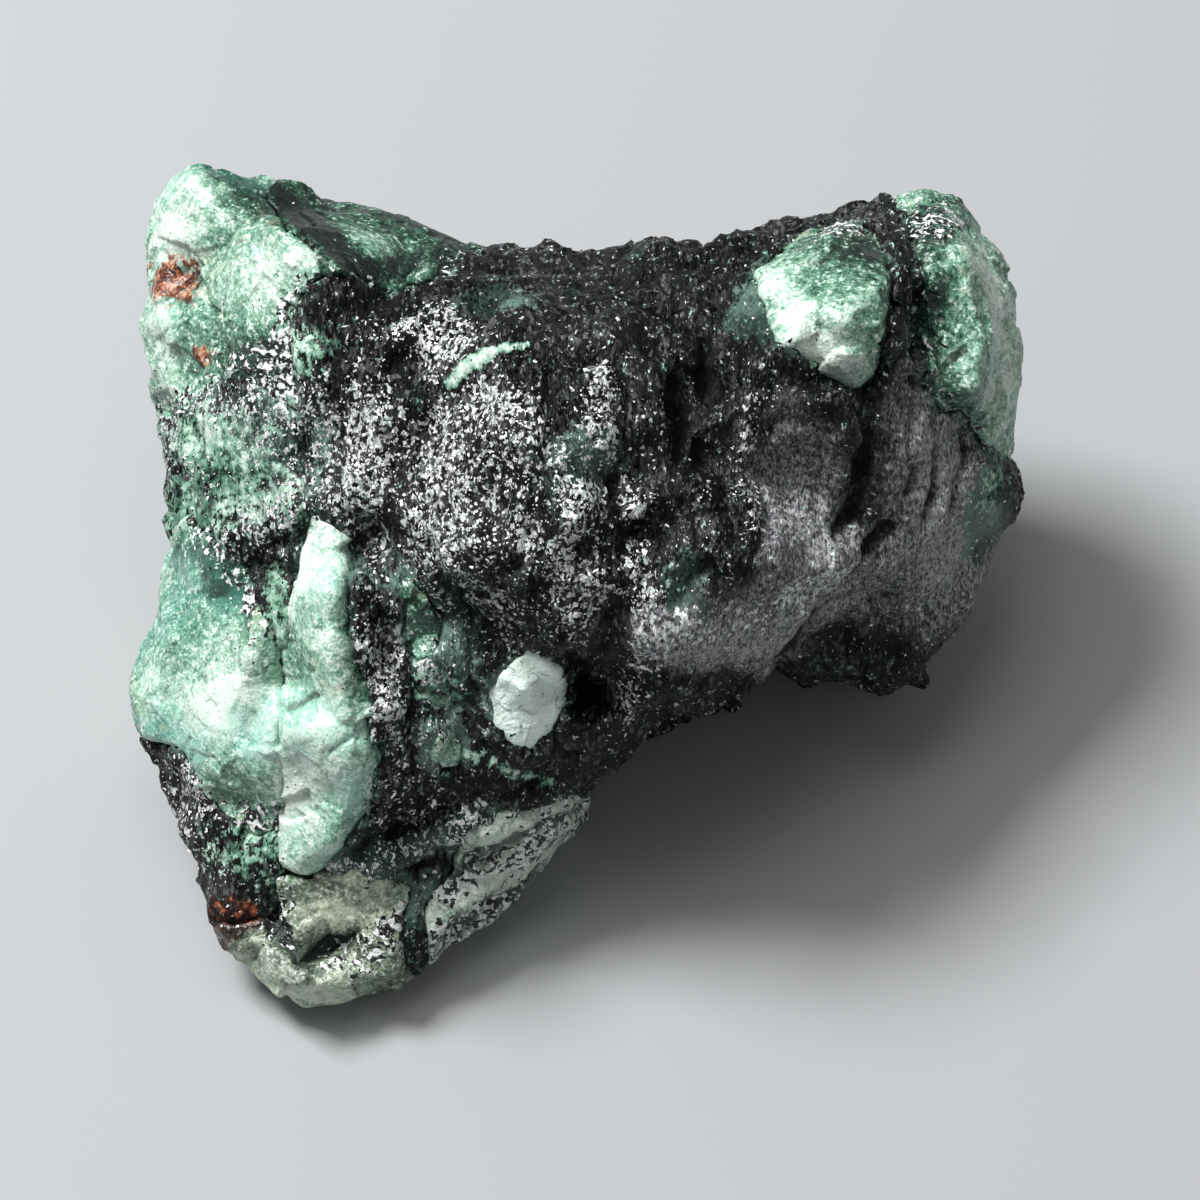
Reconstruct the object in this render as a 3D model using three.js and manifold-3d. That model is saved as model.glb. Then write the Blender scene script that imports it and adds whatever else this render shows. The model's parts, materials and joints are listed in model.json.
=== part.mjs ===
// Emerald in matrix: one rough lump of dark mica schist with pale green beryl grown through it.
// Landmarks are read square to the view that shows the stone best, as [across, up, towards the viewer],
// and the whole stone is then tipped back onto the face it lies on: +X right, +Y away, +Z up.
import * as THREE from "three";
import { ConvexGeometry } from "three/addons/geometries/ConvexGeometry.js";
import { ConvexHull } from "three/addons/math/ConvexHull.js";
import { TessellateModifier } from "three/addons/modifiers/TessellateModifier.js";
import { mergeVertices } from "three/addons/utils/BufferGeometryUtils.js";
import Module from "manifold-3d";

// Driving dimensions, in millimetres and degrees
const STONE_WIDTH = 43;
const LANDMARKS_ACROSS = 430; // landmark units across the width of the stone
const VIEW_ELEVATION = 55; // how far above the horizon the landmarks are read from
const MIDDLE_HEIGHT = 11; // height of the landmarks' origin above the resting face
const FACE_EDGE = 2.35; // longest edge of the broken surface's small faces
const SEAM = 0.3; // gap between a crystal and its socket in the schist
const DEEP = -300; // landmark depth that is well behind the stone
const NEAR = 300; // landmark depth that is well in front of it
const BORDER_DEPTH = 70; // landmark depth at which a crystal's border is drawn
const WELD = 1e-3; // points nearer than this are one point
const DIVISIONS = 12; // most times that a face is halved

const UNIT = STONE_WIDTH / LANDMARKS_ACROSS;
const TILT = THREE.MathUtils.degToRad(90 - VIEW_ELEVATION);

// The stone's outline, clockwise from the tip of its upper left horn
const outline = [
  [-185, 199, 35], [-165, 195, 30], [-137, 191, 22], [-115, 184, 20], [-86, 174, 20], [-67, 165, 22],
  [-41, 159, 25], [-15, 163, 25], [15, 165, 25], [42, 168, 25], [61, 165, 25], [90, 173, 22],
  [121, 180, 20], [150, 187, 18], [169, 188, 15], [186, 183, 15], [200, 163, 10], [211, 142, 8],
  [215, 115, 5], [213, 81, 3], [214, 47, 0], [209, 21, -5], [198, -8, -12], [183, -30, -18],
  [173, -46, -20], [151, -51, -22], [138, -45, -20], [116, -42, -10], [101, -37, 45], [75, -55, 60],
  [45, -66, 65], [23, -85, 55], [10, -91, 40], [3, -101, 18], [0, -117, 10], [-6, -124, 8],
  [-22, -142, 8], [-47, -161, 12], [-66, -174, 16], [-92, -193, 22], [-117, -201, 28], [-133, -204, 30],
  [-141, -195, 28], [-156, -183, 22], [-176, -177, 18], [-183, -161, 14], [-185, -145, 10], [-197, -123, 5],
  [-202, -95, 3], [-213, -75, 5], [-216, -52, 8], [-211, -33, 12], [-203, -11, 18], [-196, 18, 22],
  [-197, 50, 25], [-198, 85, 25], [-205, 129, 20], [-210, 167, 15], [-204, 187, 20], [-194, 196, 30],
];
const SHOULDER_INSET = 0.8; // the shoulder runs just inside the outline, in millimetres
const SHOULDER_RISE = 2; // and stands this much nearer the viewer

// Landmarks of the face towards the viewer
const horn = [
  [-165, 172, 75], [-137, 165, 98], [-115, 150, 115], [-105, 122, 122], [-185, 150, 42], [-165, 125, 78],
];
const leftFace = [
  [-155, 75, 82], [-182, 100, 48], [-165, 25, 75], [-185, -5, 48], [-190, -45, 48], [-155, -35, 80],
  [-142, -10, 78], [-139, -45, 78], [-165, -85, 62], [-150, -118, 55], [-185, -90, 32],
];
const leftCrest = [[-97, 75, 125], [-93, 40, 122]];
const rib = [
  [-117, 27, 105], [-117, -5, 122], [-115, -35, 122], [-110, -65, 115], [-107, -95, 102], [-115, -120, 82],
  [-135, -135, 60], [-92, 5, 103], [-88, -35, 103], [-84, -75, 93], [-92, -105, 72],
];
const bulge = [
  [-60, 130, 122], [-45, 107, 140], [-15, 120, 136], [25, 125, 120], [-45, 65, 155], [-5, 65, 158],
  [40, 75, 138], [-35, 15, 160], [15, 15, 156], [-65, 25, 138], [-80, 65, 120], [-77, 5, 116],
  [-15, -20, 145], [35, -25, 140], [42, -54, 108], [10, -75, 88],
];
const saddle = [[-85, 157, 45], [-75, 150, 65], [-45, 147, 62], [-5, 150, 62], [45, 150, 70], [75, 150, 66]];
const grooves = [
  [50, 65, 130], [63, 105, 100], [65, 60, 106], [80, 92, 120], [80, 10, 132], [125, 85, 112],
  [128, 8, 106], [138, 80, 78], [140, 35, 84], [98, -24, 88], [134, 0, 82], [150, 28, 74],
];
const knob = [
  [100, 150, 80], [112, 130, 106], [130, 126, 116], [146, 144, 100], [155, 118, 100], [138, 97, 94],
  [125, 166, 68], [120, 92, 92],
];
const edge = [[168, 168, 50], [168, 125, 60], [173, 98, 60], [187, 155, 66], [195, 120, 66], [190, 98, 66]];
const rightSide = [[162, 62, 78], [162, 15, 60], [186, 48, 48], [198, 65, 30]];
const lobe = [[140, -8, 20], [160, -15, 12], [146, -32, 2], [180, -5, 10], [108, -33, 72]];
const steps = [
  [-30, -33, 112], [-20, -60, 92], [-5, -50, 86], [8, -50, 66], [20, -36, 122], [28, -60, 96],
  [-5, -96, 60], [-35, -84, 76], [-65, -84, 86], [-75, -55, 100], [-80, -110, 70], [-60, -120, 60],
  [-15, -114, 42], [-35, -134, 34], [-60, -149, 36], [-104, -160, 45], [-122, -178, 35], [-133, -155, 50],
  [-165, -155, 34],
];
const leftLandmarks = [horn, leftFace, leftCrest, rib];
const rightLandmarks = [grooves, knob, edge, rightSide, lobe];
const frontLandmarks = [...leftLandmarks, bulge, saddle, ...rightLandmarks, steps].flat();

// Corners of the broken block behind that face, in millimetres on the resting face
const backBlock = [
  [-16, -9, -3], [-13, -17, -3], [-3, -12, -3], [10, -3, -3], [15.5, 1, -3], [13, 9.5, -3], [0, 11.5, -3],
  [-13, 10.5, -3], [-17, 3, -3], [-23, -4, 8], [-22.5, 5, 11], [-15, 16, 12], [3, 18, 10], [17, 14.5, 12],
  [22.5, 5, 12], [18, -5, 5], [-14.5, -21, 1.5], [-26, -26, 32], [26, -26, 32], [26, 20, 32], [-26, 20, 32],
];

// Crystals: each one's border in the view, the depth of its root, and its lean [across, up] towards the viewer
const crystals = {
  emerald_horn: {
    border: [
      [-330, 300], [-165, 300], [-157, 189], [-137, 171], [-115, 153], [-112, 143], [-129, 130], [-125, 105],
      [-122, 80], [-143, 87], [-160, 103], [-183, 90], [-330, 80],
    ],
    root: DEEP,
    lean: [-0.22, 0.1],
  },
  emerald_back: {
    border: [
      [-165, 300], [-60, 300], [-55, 165], [-63, 143], [-85, 138], [-105, 143], [-112, 143], [-115, 153],
      [-137, 171], [-157, 189],
    ],
    root: DEEP,
    lean: [-0.22, 0.1],
  },
  emerald_lobe: {
    border: [
      [-330, 15], [-193, 33], [-165, 17], [-150, -7], [-141, -35], [-138, -65], [-141, -95], [-148, -120],
      [-165, -125], [-183, -108], [-199, -80], [-330, -40],
    ],
    root: DEEP,
    lean: [-0.25, 0.06],
  },
  emerald_rib: {
    border: [
      [-118, 34], [-105, 25], [-97, 0], [-94, -35], [-88, -65], [-87, -85], [-99, -111], [-115, -128],
      [-133, -141], [-149, -138], [-148, -120], [-141, -95], [-138, -65], [-141, -35], [-134, -23], [-128, 7],
    ],
    root: 20,
    lean: [-0.25, 0.06],
  },
  emerald_foot: {
    border: [
      [-230, -178], [-165, -171], [-148, -165], [-150, -147], [-105, -140], [-81, -153], [-89, -175],
      [-75, -300], [-230, -300],
    ],
    root: DEEP,
    lean: [-0.08, -0.2],
  },
  emerald_ledge: {
    border: [
      [-55, -123], [-33, -111], [-9, -107], [4, -110], [60, -160], [40, -300], [-60, -300], [-72, -165],
      [-57, -145],
    ],
    root: DEEP,
    lean: [0.1, -0.2],
  },
  emerald_pocket: {
    border: [[-14, -35], [-1, -45], [-6, -67], [-21, -81], [-37, -69], [-37, -54], [-25, -45]],
    root: 20,
    lean: [-0.2, 0.15],
  },
  emerald_sliver: {
    border: [[-74, 1], [-61, -3], [-55, -20], [-60, -38], [-70, -40], [-76, -25]],
    root: 50,
    lean: [-0.2, 0.05],
  },
  emerald_bead: {
    border: [[-72, -75], [-64, -69], [-55, -77], [-57, -90], [-67, -92], [-74, -85]],
    root: 40,
    lean: [0.15, 0.1],
  },
  emerald_knob: {
    border: [
      [86, 151], [101, 165], [112, 176], [128, 181], [141, 173], [151, 157], [156, 143], [155, 117],
      [148, 99], [138, 90], [124, 99], [104, 111], [93, 133],
    ],
    root: -20,
    lean: [-0.15, 0.12],
  },
  emerald_edge: {
    border: [
      [168, 300], [340, 300], [340, 60], [208, 71], [195, 89], [182, 85], [171, 98], [168, 125], [169, 155],
    ],
    root: DEEP,
    lean: [0.22, 0.08],
  },
};

// Roughness of the broken surfaces, in millimetres
const SCHIST_CHIPS = { cell: 3.1, depth: 0.34, slope: 0.3 };
const CRYSTAL_CHIPS = { cell: 4.6, depth: 0.16, slope: 0.14 };
const LUMPS = { wavelength: 6, depth: 0.4 };
const LEAVES = { pitch: 1.9, rise: 0.75, depth: 0.3, wander: 1.4, bend: 7, wear: 5 }; // split schist, edge on
const LEAF_NORMAL = new THREE.Vector3(0.96, 0.22, 0.17).normalize();
const PROUD = 0.25; // crystals weather a little prouder than the schist

const wasm = await Module();
wasm.setup();

/** A repeatable number from 0 to 1 for each corner of a unit lattice. */
function latticeValue(i, j, k, salt) {
  let h = Math.imul(i, 374761393) + Math.imul(j, 668265263) + Math.imul(k, 1274126177) + salt * 974634777;
  h = Math.imul(h ^ (h >>> 13), 1103515245);
  h = Math.imul(h ^ (h >>> 15), 668265263);
  return ((h ^ (h >>> 16)) >>> 0) / 4294967296;
}

/** Smooth noise from -1 to 1: lattice values blended with an eased weight along each axis. */
function noise(p, wavelength, salt) {
  const [x, y, z] = [p.x / wavelength, p.y / wavelength, p.z / wavelength];
  const [i, j, k] = [Math.floor(x), Math.floor(y), Math.floor(z)];
  const ease = (t) => t * t * (3 - 2 * t);
  const weights = [ease(x - i), ease(y - j), ease(z - k)];
  let sum = 0;
  for (let corner = 0; corner < 8; corner++) {
    const step = [corner & 1, (corner >> 1) & 1, (corner >> 2) & 1];
    const weight = step.reduce((w, on, axis) => w * (on ? weights[axis] : 1 - weights[axis]), 1);
    sum += weight * latticeValue(i + step[0], j + step[1], k + step[2], salt);
  }
  return 2 * sum - 1;
}

/** Broken chips: each point takes the height of a small tilted plane that belongs to its nearest cell. */
function chips(p, { cell, depth, slope }) {
  const at = [p.x, p.y, p.z].map((c) => Math.floor(c / cell));
  let nearest = Infinity;
  let height = 0;
  for (let n = 0; n < 27; n++) {
    const c = [at[0] + (n % 3) - 1, at[1] + (Math.floor(n / 3) % 3) - 1, at[2] + Math.floor(n / 9) - 1];
    const seed = new THREE.Vector3(...c.map((value, axis) => (value + latticeValue(...c, 11 + axis)) * cell));
    const away = p.clone().sub(seed);
    if (away.lengthSq() > nearest) continue;
    nearest = away.lengthSq();
    const lean = new THREE.Vector3(...[21, 22, 23].map((salt) => latticeValue(...c, salt) - 0.5));
    height = depth * (2 * latticeValue(...c, 24) - 1) + 2 * slope * lean.dot(away);
  }
  return height;
}

/** Leaves of schist: a saw-toothed step across the foliation, wandering along it. */
function leaves(p) {
  const across = (p.dot(LEAF_NORMAL) + LEAVES.wander * noise(p, LEAVES.bend, 3)) / LEAVES.pitch;
  const tooth = across - Math.floor(across);
  const worn = 0.5 + 0.5 * noise(p, LEAVES.wear, 5);
  const step = tooth < LEAVES.rise ? tooth / LEAVES.rise : (1 - tooth) / (1 - LEAVES.rise);
  return LEAVES.depth * worn * step;
}

/** Whether a point of the view lies inside a closed border. */
function inside(x, y, border) {
  let within = false;
  for (let i = 0, j = border.length - 1; i < border.length; j = i++) {
    const [[xi, yi], [xj, yj]] = [border[i], border[j]];
    if (yi > y !== yj > y && x < ((xj - xi) * (y - yi)) / (yj - yi) + xi) within = !within;
  }
  return within;
}

/** Triangles that join points of the view: the underside of their hull once lifted onto a paraboloid. */
function triangulate(points) {
  const lifted = points.map(([x, y]) => new THREE.Vector3(x, y, (x * x + y * y) / LANDMARKS_ACROSS));
  const indexOf = new Map(lifted.map((point, i) => [point, i]));
  const triangles = [];
  for (const face of new ConvexHull().setFromPoints(lifted).faces) {
    const corners = [face.edge, face.edge.next, face.edge.next.next].map((e) => indexOf.get(e.head().point));
    const [a, b, c] = corners.map((i) => points[i]);
    const middle = [(a[0] + b[0] + c[0]) / 3, (a[1] + b[1] + c[1]) / 3];
    if (face.normal.z < 0 && inside(...middle, outline)) triangles.push([corners[0], corners[2], corners[1]]);
  }
  return triangles;
}

/** A closed mesh as a solid that can be joined and cut. */
function solidOf(geometry) {
  const bare = new THREE.BufferGeometry().setAttribute("position", geometry.getAttribute("position"));
  if (geometry.index) bare.setIndex(geometry.index);
  const merged = mergeVertices(bare, WELD);
  return new wasm.Manifold(
    new wasm.Mesh({
      numProp: 3,
      vertProperties: merged.attributes.position.array,
      triVerts: new Uint32Array(merged.index.array),
    }),
  );
}

/** The largest of the bodies that a cut leaves, without its crumbs. */
function withoutCrumbs(solid) {
  return solid.decompose().reduce((largest, body) => (body.volume() > largest.volume() ? body : largest));
}

/** A solid's surface as a geometry. */
function geometryOf(solid) {
  const { vertProperties, triVerts } = solid.getMesh();
  return new THREE.BufferGeometry()
    .setAttribute("position", new THREE.BufferAttribute(vertProperties, 3))
    .setIndex(new THREE.BufferAttribute(triVerts, 1));
}

/** The face towards the viewer, carried straight back from its outline. */
function frontBlock() {
  const shoulder = offset(outline, -SHOULDER_INSET).map(({ x, y }, i) => [
    x / UNIT,
    y / UNIT,
    outline[i][2] + SHOULDER_RISE / UNIT,
  ]);
  const points = [...outline, ...shoulder, ...frontLandmarks];
  const count = outline.length;
  const behind = outline.map(([x, y]) => [x, y, DEEP]);
  const position = [...points, ...behind].flatMap((point) => point.map((value) => value * UNIT));
  const index = triangulate(points).flat();
  for (let i = 0; i < count; i++) {
    const next = (i + 1) % count;
    const [backI, backNext] = [points.length + i, points.length + next];
    index.push(i, next, backNext, i, backNext, backI);
  }
  const flat = THREE.ShapeUtils.triangulateShape(behind.map(([x, y]) => new THREE.Vector2(x, y)), []);
  const turned = flat.map(([a, b, c]) => [points.length + c, points.length + b, points.length + a]);
  const clockwise = THREE.ShapeUtils.isClockWise(behind.map(([x, y]) => new THREE.Vector2(x, y)));
  index.push(...(clockwise ? turned : flat).flat());
  const geometry = new THREE.BufferGeometry();
  geometry.setAttribute("position", new THREE.Float32BufferAttribute(position, 3));
  geometry.setIndex(index);
  return solidOf(geometry);
}

const toStone = new THREE.Matrix4()
  .makeTranslation(0, 0, MIDDLE_HEIGHT)
  .multiply(new THREE.Matrix4().makeRotationX(TILT));
const toView = toStone.clone().invert();

/** The unworn lump: the face towards the viewer where the broken block lies behind it. */
function lump() {
  const corners = backBlock.map((corner) => new THREE.Vector3(...corner).applyMatrix4(toView));
  return frontBlock().intersect(solidOf(new ConvexGeometry(corners)));
}

/** The lump with its chips, leaves and lumps, each vertex moved along its normal. */
function weathered(solid) {
  const fine = new TessellateModifier(FACE_EDGE, DIVISIONS).modify(geometryOf(solid));
  const bare = new THREE.BufferGeometry().setAttribute("position", fine.getAttribute("position"));
  const geometry = mergeVertices(bare, WELD);
  geometry.computeVertexNormals();
  const { position, normal } = geometry.attributes;
  const p = new THREE.Vector3();
  const n = new THREE.Vector3();
  for (let i = 0; i < position.count; i++) {
    p.fromBufferAttribute(position, i);
    n.fromBufferAttribute(normal, i);
    const onCrystal = Object.values(crystals).some(({ border }) => inside(p.x / UNIT, p.y / UNIT, border));
    const relief = onCrystal ? PROUD + chips(p, CRYSTAL_CHIPS) : chips(p, SCHIST_CHIPS) + leaves(p);
    p.addScaledVector(n, relief + LUMPS.depth * noise(p, LUMPS.wavelength, 1));
    position.setXYZ(i, p.x, p.y, p.z);
  }
  return solidOf(geometry);
}

/** A border moved outwards by a distance, or inwards by a negative one. */
function offset(border, distance) {
  const points = border.map(([x, y]) => new THREE.Vector2(x * UNIT, y * UNIT));
  const side = THREE.ShapeUtils.isClockWise(points) ? -1 : 1;
  return points.map((point, i) => {
    const before = points[(i + points.length - 1) % points.length];
    const after = points[(i + 1) % points.length];
    const normals = [point.clone().sub(before), after.clone().sub(point)].map((e) =>
      new THREE.Vector2(e.y, -e.x).normalize().multiplyScalar(side),
    );
    const mitre = normals[0].clone().add(normals[1]).normalize();
    return point.clone().addScaledVector(mitre, distance / Math.max(0.5, mitre.dot(normals[0])));
  });
}

/** The leaning column inside a crystal's border, from its root to well in front of the stone. */
function column({ border, root, lean }, distance) {
  const shape = new THREE.Shape(offset(border, distance));
  const start = (root - BORDER_DEPTH) * UNIT - distance;
  const depth = (NEAR - BORDER_DEPTH) * UNIT - start;
  const geometry = new THREE.ExtrudeGeometry(shape, { depth, bevelEnabled: false }).translate(0, 0, start);
  const sheared = new THREE.Matrix4().set(1, 0, lean[0], 0, 0, 1, lean[1], 0, 0, 0, 1, 0, 0, 0, 0, 1);
  return solidOf(geometry.applyMatrix4(sheared).translate(0, 0, BORDER_DEPTH * UNIT));
}

/** Everything above the surface that the stone lies on, cut off flat there. */
function aboveGround() {
  const side = 3 * STONE_WIDTH;
  const box = new THREE.BoxGeometry(side, side, side).translate(0, 0, side / 2);
  return solidOf(box.applyMatrix4(toView));
}

const schist = new THREE.MeshStandardMaterial({ color: 0x34363a, roughness: 0.5, metalness: 0.15 });
const beryl = new THREE.MeshStandardMaterial({ color: 0x7fb8a2, roughness: 0.35, metalness: 0 });
const darkBeryl = new THREE.MeshStandardMaterial({ color: 0x2f5c4c, roughness: 0.4, metalness: 0 });
const paleBeryl = new THREE.MeshStandardMaterial({ color: 0xbfdccf, roughness: 0.35, metalness: 0 });
const crystalMaterials = {
  emerald_back: darkBeryl,
  emerald_sliver: darkBeryl,
  emerald_pocket: paleBeryl,
};

/** A named piece of the stone, set down on its resting face. */
function piece(name, solid, material) {
  const mesh = new THREE.Mesh(geometryOf(withoutCrumbs(solid)).applyMatrix4(toStone), material);
  mesh.name = name;
  return mesh;
}

const emeraldInMatrix = new THREE.Group();
let stone = weathered(lump()).intersect(aboveGround());
for (const [name, crystal] of Object.entries(crystals)) {
  const grown = stone.intersect(column(crystal, -SEAM / 2));
  emeraldInMatrix.add(piece(name, grown, crystalMaterials[name] ?? beryl));
  stone = stone.subtract(column(crystal, SEAM / 2));
}
emeraldInMatrix.add(piece("schist_matrix", stone, schist));

export default emeraldInMatrix;
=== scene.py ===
"""The looks of a rough emerald in matrix: dark mica schist with pale green beryl grown through it.

Every size here is in millimetres unless it says otherwise, and every place is in the stone's own frame.
Marks, such as a rust spot, are placed as across and up in tenths of a millimetre, square to the view
that shows the stone best, and they lie on whatever surface faces that way.
"""

from __future__ import annotations

import itertools
import json
import logging
import math
from collections.abc import Iterable
from dataclasses import dataclass, field
from enum import Enum, IntEnum
from functools import cached_property

import bmesh
import bpy
import numpy as np
from mathutils import Matrix, Vector

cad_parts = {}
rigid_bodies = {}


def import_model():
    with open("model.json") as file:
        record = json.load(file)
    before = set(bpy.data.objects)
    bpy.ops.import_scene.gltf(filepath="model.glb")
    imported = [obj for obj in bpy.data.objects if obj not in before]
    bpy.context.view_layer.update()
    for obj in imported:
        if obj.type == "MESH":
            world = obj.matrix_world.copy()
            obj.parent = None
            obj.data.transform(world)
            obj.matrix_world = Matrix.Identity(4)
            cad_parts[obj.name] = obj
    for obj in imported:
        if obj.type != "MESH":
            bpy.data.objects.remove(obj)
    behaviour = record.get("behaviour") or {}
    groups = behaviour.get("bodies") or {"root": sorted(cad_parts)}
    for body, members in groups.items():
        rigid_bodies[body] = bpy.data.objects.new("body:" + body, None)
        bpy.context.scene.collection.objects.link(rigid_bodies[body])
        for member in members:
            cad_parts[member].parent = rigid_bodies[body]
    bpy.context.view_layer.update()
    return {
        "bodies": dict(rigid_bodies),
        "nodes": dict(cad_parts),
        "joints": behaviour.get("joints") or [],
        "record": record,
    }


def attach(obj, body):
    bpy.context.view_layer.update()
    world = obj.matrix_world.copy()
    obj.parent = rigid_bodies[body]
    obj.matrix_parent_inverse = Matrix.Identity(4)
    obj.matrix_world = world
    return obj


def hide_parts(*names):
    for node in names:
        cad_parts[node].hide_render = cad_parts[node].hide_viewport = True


Colour = tuple[float, float, float, float]

LOG = logging.getLogger("emerald_in_matrix")

# A millimetre in metres, and a mark's unit in millimetres
MM = 0.001
MARK = 0.1

# The view that the marks are square to, and the height of its middle over the floor
VIEW_ELEVATION = math.radians(55)
MIDDLE_HEIGHT = 11.0
UPWARDS = np.array([0.0, math.sin(VIEW_ELEVATION), math.cos(VIEW_ELEVATION)])

# The schist's leaves: the way they face, and how far up a leaf its edge turns over
LEAF_NORMAL = np.array([0.96, 0.083, 0.265])
LEAF_CREST = 0.75

# How far noise moves a mark's edge, in marks, over what distance, and how much of that bends the clouds
RAGGED = 6.0
RAGGED_WAVE = 1.5
BENT_SHARE = 0.09

# Surfaces turn from the far side to the near side between these heights of their normal
FACING_FROM = -0.15
FACING_TO = 0.2

# Solids are merged at this distance, and their nets have about this many faces to a square of the grid
WELD = 0.001
QUADS_PER_SQUARE = 1.5

# The hash behind all noise: large odd numbers, shifts, and the range of its results
LATTICE_PRIMES = np.array([374761393, 668265263, 1274126177], dtype=np.int64)
SALT_PRIME = 974634777
SCRAMBLES = ((13, 1103515245), (15, 668265263))
LAST_SHIFT = 16
HASH_RANGE = 2.0**32

# Keeps a division by a length of nothing finite
TINY = 1e-9

# Noise nodes are centred on a half, and the colour sockets of a Mix node are found by number
HALF = (0.5, 0.5, 0.5)
MIX_FIRST = 6
MIX_SECOND = 7
MIX_RESULT = 2


class Slot(Enum):
    """The record's material slots."""

    SCHIST = "schist"
    BERYL = "beryl"
    DARK_BERYL = "dark_beryl"
    PALE_BERYL = "pale_beryl"


class Salt(IntEnum):
    """Which noise each pattern takes. A pattern may use up to seven, counted on from its own."""

    DRIFT_ACROSS = 11
    DRIFT_UP = 17
    DRIFT_TOWARDS = 23
    BERYL_SWELLS = 31
    BERYL_CHIPS = 41
    BERYL_NICKS = 51
    BERYL_GRAIN = 61
    BERYL_MICA = 71
    SCHIST_SWELLS = 101
    SCHIST_CHIPS = 111
    SCHIST_NICKS = 121
    SCHIST_LEAVES = 131
    SCHIST_THIN_LEAVES = 141
    SATIN_PATCHES = 151
    MICA_PATCHES = 161
    BARED_BERYL = 171
    MICA_CLUSTERS = 181
    SCHIST_CREASES = 191
    BERYL_CLOUDS = 201
    BERYL_ZONES = 211
    BERYL_WARMTH = 221
    GREEN_PATCHES = 231
    SCHIST_PATCHES = 241
    SCHIST_MEETING = 251


def colour(red: float, green: float, blue: float) -> Colour:
    """Turns a screen colour, with channels from 0 to 255, into the linear one that a shader takes.

    Args:
        red: The red channel.
        green: The green channel.
        blue: The blue channel.

    Returns:
        The linear colour, with an alpha of 1.
    """
    return (*(((channel / 255 + 0.055) / 1.055) ** 2.4 for channel in (red, green, blue)), 1.0)


def to_view(points: np.ndarray) -> np.ndarray:
    """Turns points or directions from the stone's frame to the view's: across, up and towards the viewer.

    The frame is tipped about the X axis by the angle that brings the line of sight to stand upright.

    Args:
        points: Rows of x, y and z, measured from the middle of the stone.

    Returns:
        Rows of across, up and towards.
    """
    tip = math.pi / 2 - VIEW_ELEVATION
    up = points[:, 1] * math.cos(tip) + points[:, 2] * math.sin(tip)
    towards = points[:, 2] * math.cos(tip) - points[:, 1] * math.sin(tip)
    return np.stack([points[:, 0], up, towards], axis=1)


def ramp(values: np.ndarray, low: float, high: float) -> np.ndarray:
    """An eased step: 0 at low, 1 at high, and 3t² - 2t³ of the way between.

    Args:
        values: The values to ease.
        low: Where the step starts.
        high: Where it ends.

    Returns:
        Values from 0 to 1.
    """
    part = np.clip((values - low) / (high - low), 0, 1)
    return part * part * (3 - 2 * part)


def hashed(cells: np.ndarray, salt: int) -> np.ndarray:
    """A repeatable number for each whole-numbered cell, from large odd factors and shifted bits.

    Args:
        cells: Rows of three whole numbers.
        salt: Which of many sets of numbers to take.

    Returns:
        One number from 0 to 1 for each row.
    """
    mixed = ((cells * LATTICE_PRIMES).sum(axis=1) + salt * SALT_PRIME).astype(np.uint32)
    for shift, factor in SCRAMBLES:
        mixed = (mixed ^ (mixed >> np.uint32(shift))) * np.uint32(factor)
    return (mixed ^ (mixed >> np.uint32(LAST_SHIFT))) / HASH_RANGE


def noise(points: np.ndarray, wavelength: float, salt: int) -> np.ndarray:
    """Smooth noise: the hashed corners of each lattice cell, blended with an eased weight along each axis.

    Args:
        points: Rows of x, y and z.
        wavelength: The size of a lattice cell.
        salt: Which noise to take.

    Returns:
        One number from -1 to 1 for each point.
    """
    scaled = points / wavelength
    base = np.floor(scaled).astype(np.int64)
    part = scaled - base
    weight = part * part * (3 - 2 * part)
    total = np.zeros(len(points))
    for corner in itertools.product((0, 1), repeat=3):
        share = np.prod(np.where(corner, weight, 1 - weight), axis=1)
        total += share * hashed(base + corner, salt)
    return 2 * total - 1


def fractal(points: np.ndarray, wavelength: float, salt: int, octaves: int = 3) -> np.ndarray:
    """Noise plus noise of half the wavelength and half the height, and so on.

    Args:
        points: Rows of x, y and z.
        wavelength: The longest wavelength.
        salt: Which noise to take.
        octaves: How many noises are added.

    Returns:
        One number, mostly from -1 to 1, for each point.
    """
    waves = (noise(points, wavelength / 2**n, salt + n) / 2**n for n in range(octaves))
    return sum(waves) / (2 - 2 ** (1 - octaves))


def streaked(points: np.ndarray, longer: float) -> np.ndarray:
    """Draws places together along the view's up, so that a pattern read there runs in upright streaks.

    Args:
        points: Rows of x, y and z.
        longer: How many times longer the pattern is that way.

    Returns:
        The places to read the pattern at.
    """
    return points - (1 - 1 / longer) * (points @ UPWARDS)[:, None] * UPWARDS


def chips(points: np.ndarray, size: float, depth: float, slope: float, salt: int) -> np.ndarray:
    """Broken chips: each point takes the height of a tilted plane that belongs to its nearest seed.

    One seed stands at a hashed place in each cubic cell. Its plane has a hashed height and tilt.

    Args:
        points: Rows of x, y and z.
        size: The side of a cell.
        depth: The most that a plane's middle stands out or in.
        slope: The most that a plane rises along each axis.
        salt: Which chips to take.

    Returns:
        One height for each point.
    """
    base = np.floor(points / size).astype(np.int64)
    best = np.full(len(points), np.inf)
    cell = base.copy()
    away = np.zeros_like(points)
    for step in itertools.product((-1, 0, 1), repeat=3):
        near = base + step
        seed = (near + np.stack([hashed(near, salt + axis) for axis in range(3)], axis=1)) * size
        offset = points - seed
        distance = (offset**2).sum(axis=1)
        closer = distance < best
        best[closer] = distance[closer]
        cell[closer] = near[closer]
        away[closer] = offset[closer]
    lean = np.stack([hashed(cell, salt + 3 + axis) for axis in range(3)], axis=1) - 0.5
    return depth * (2 * hashed(cell, salt + 6) - 1) + 2 * slope * (lean * away).sum(axis=1)


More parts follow.
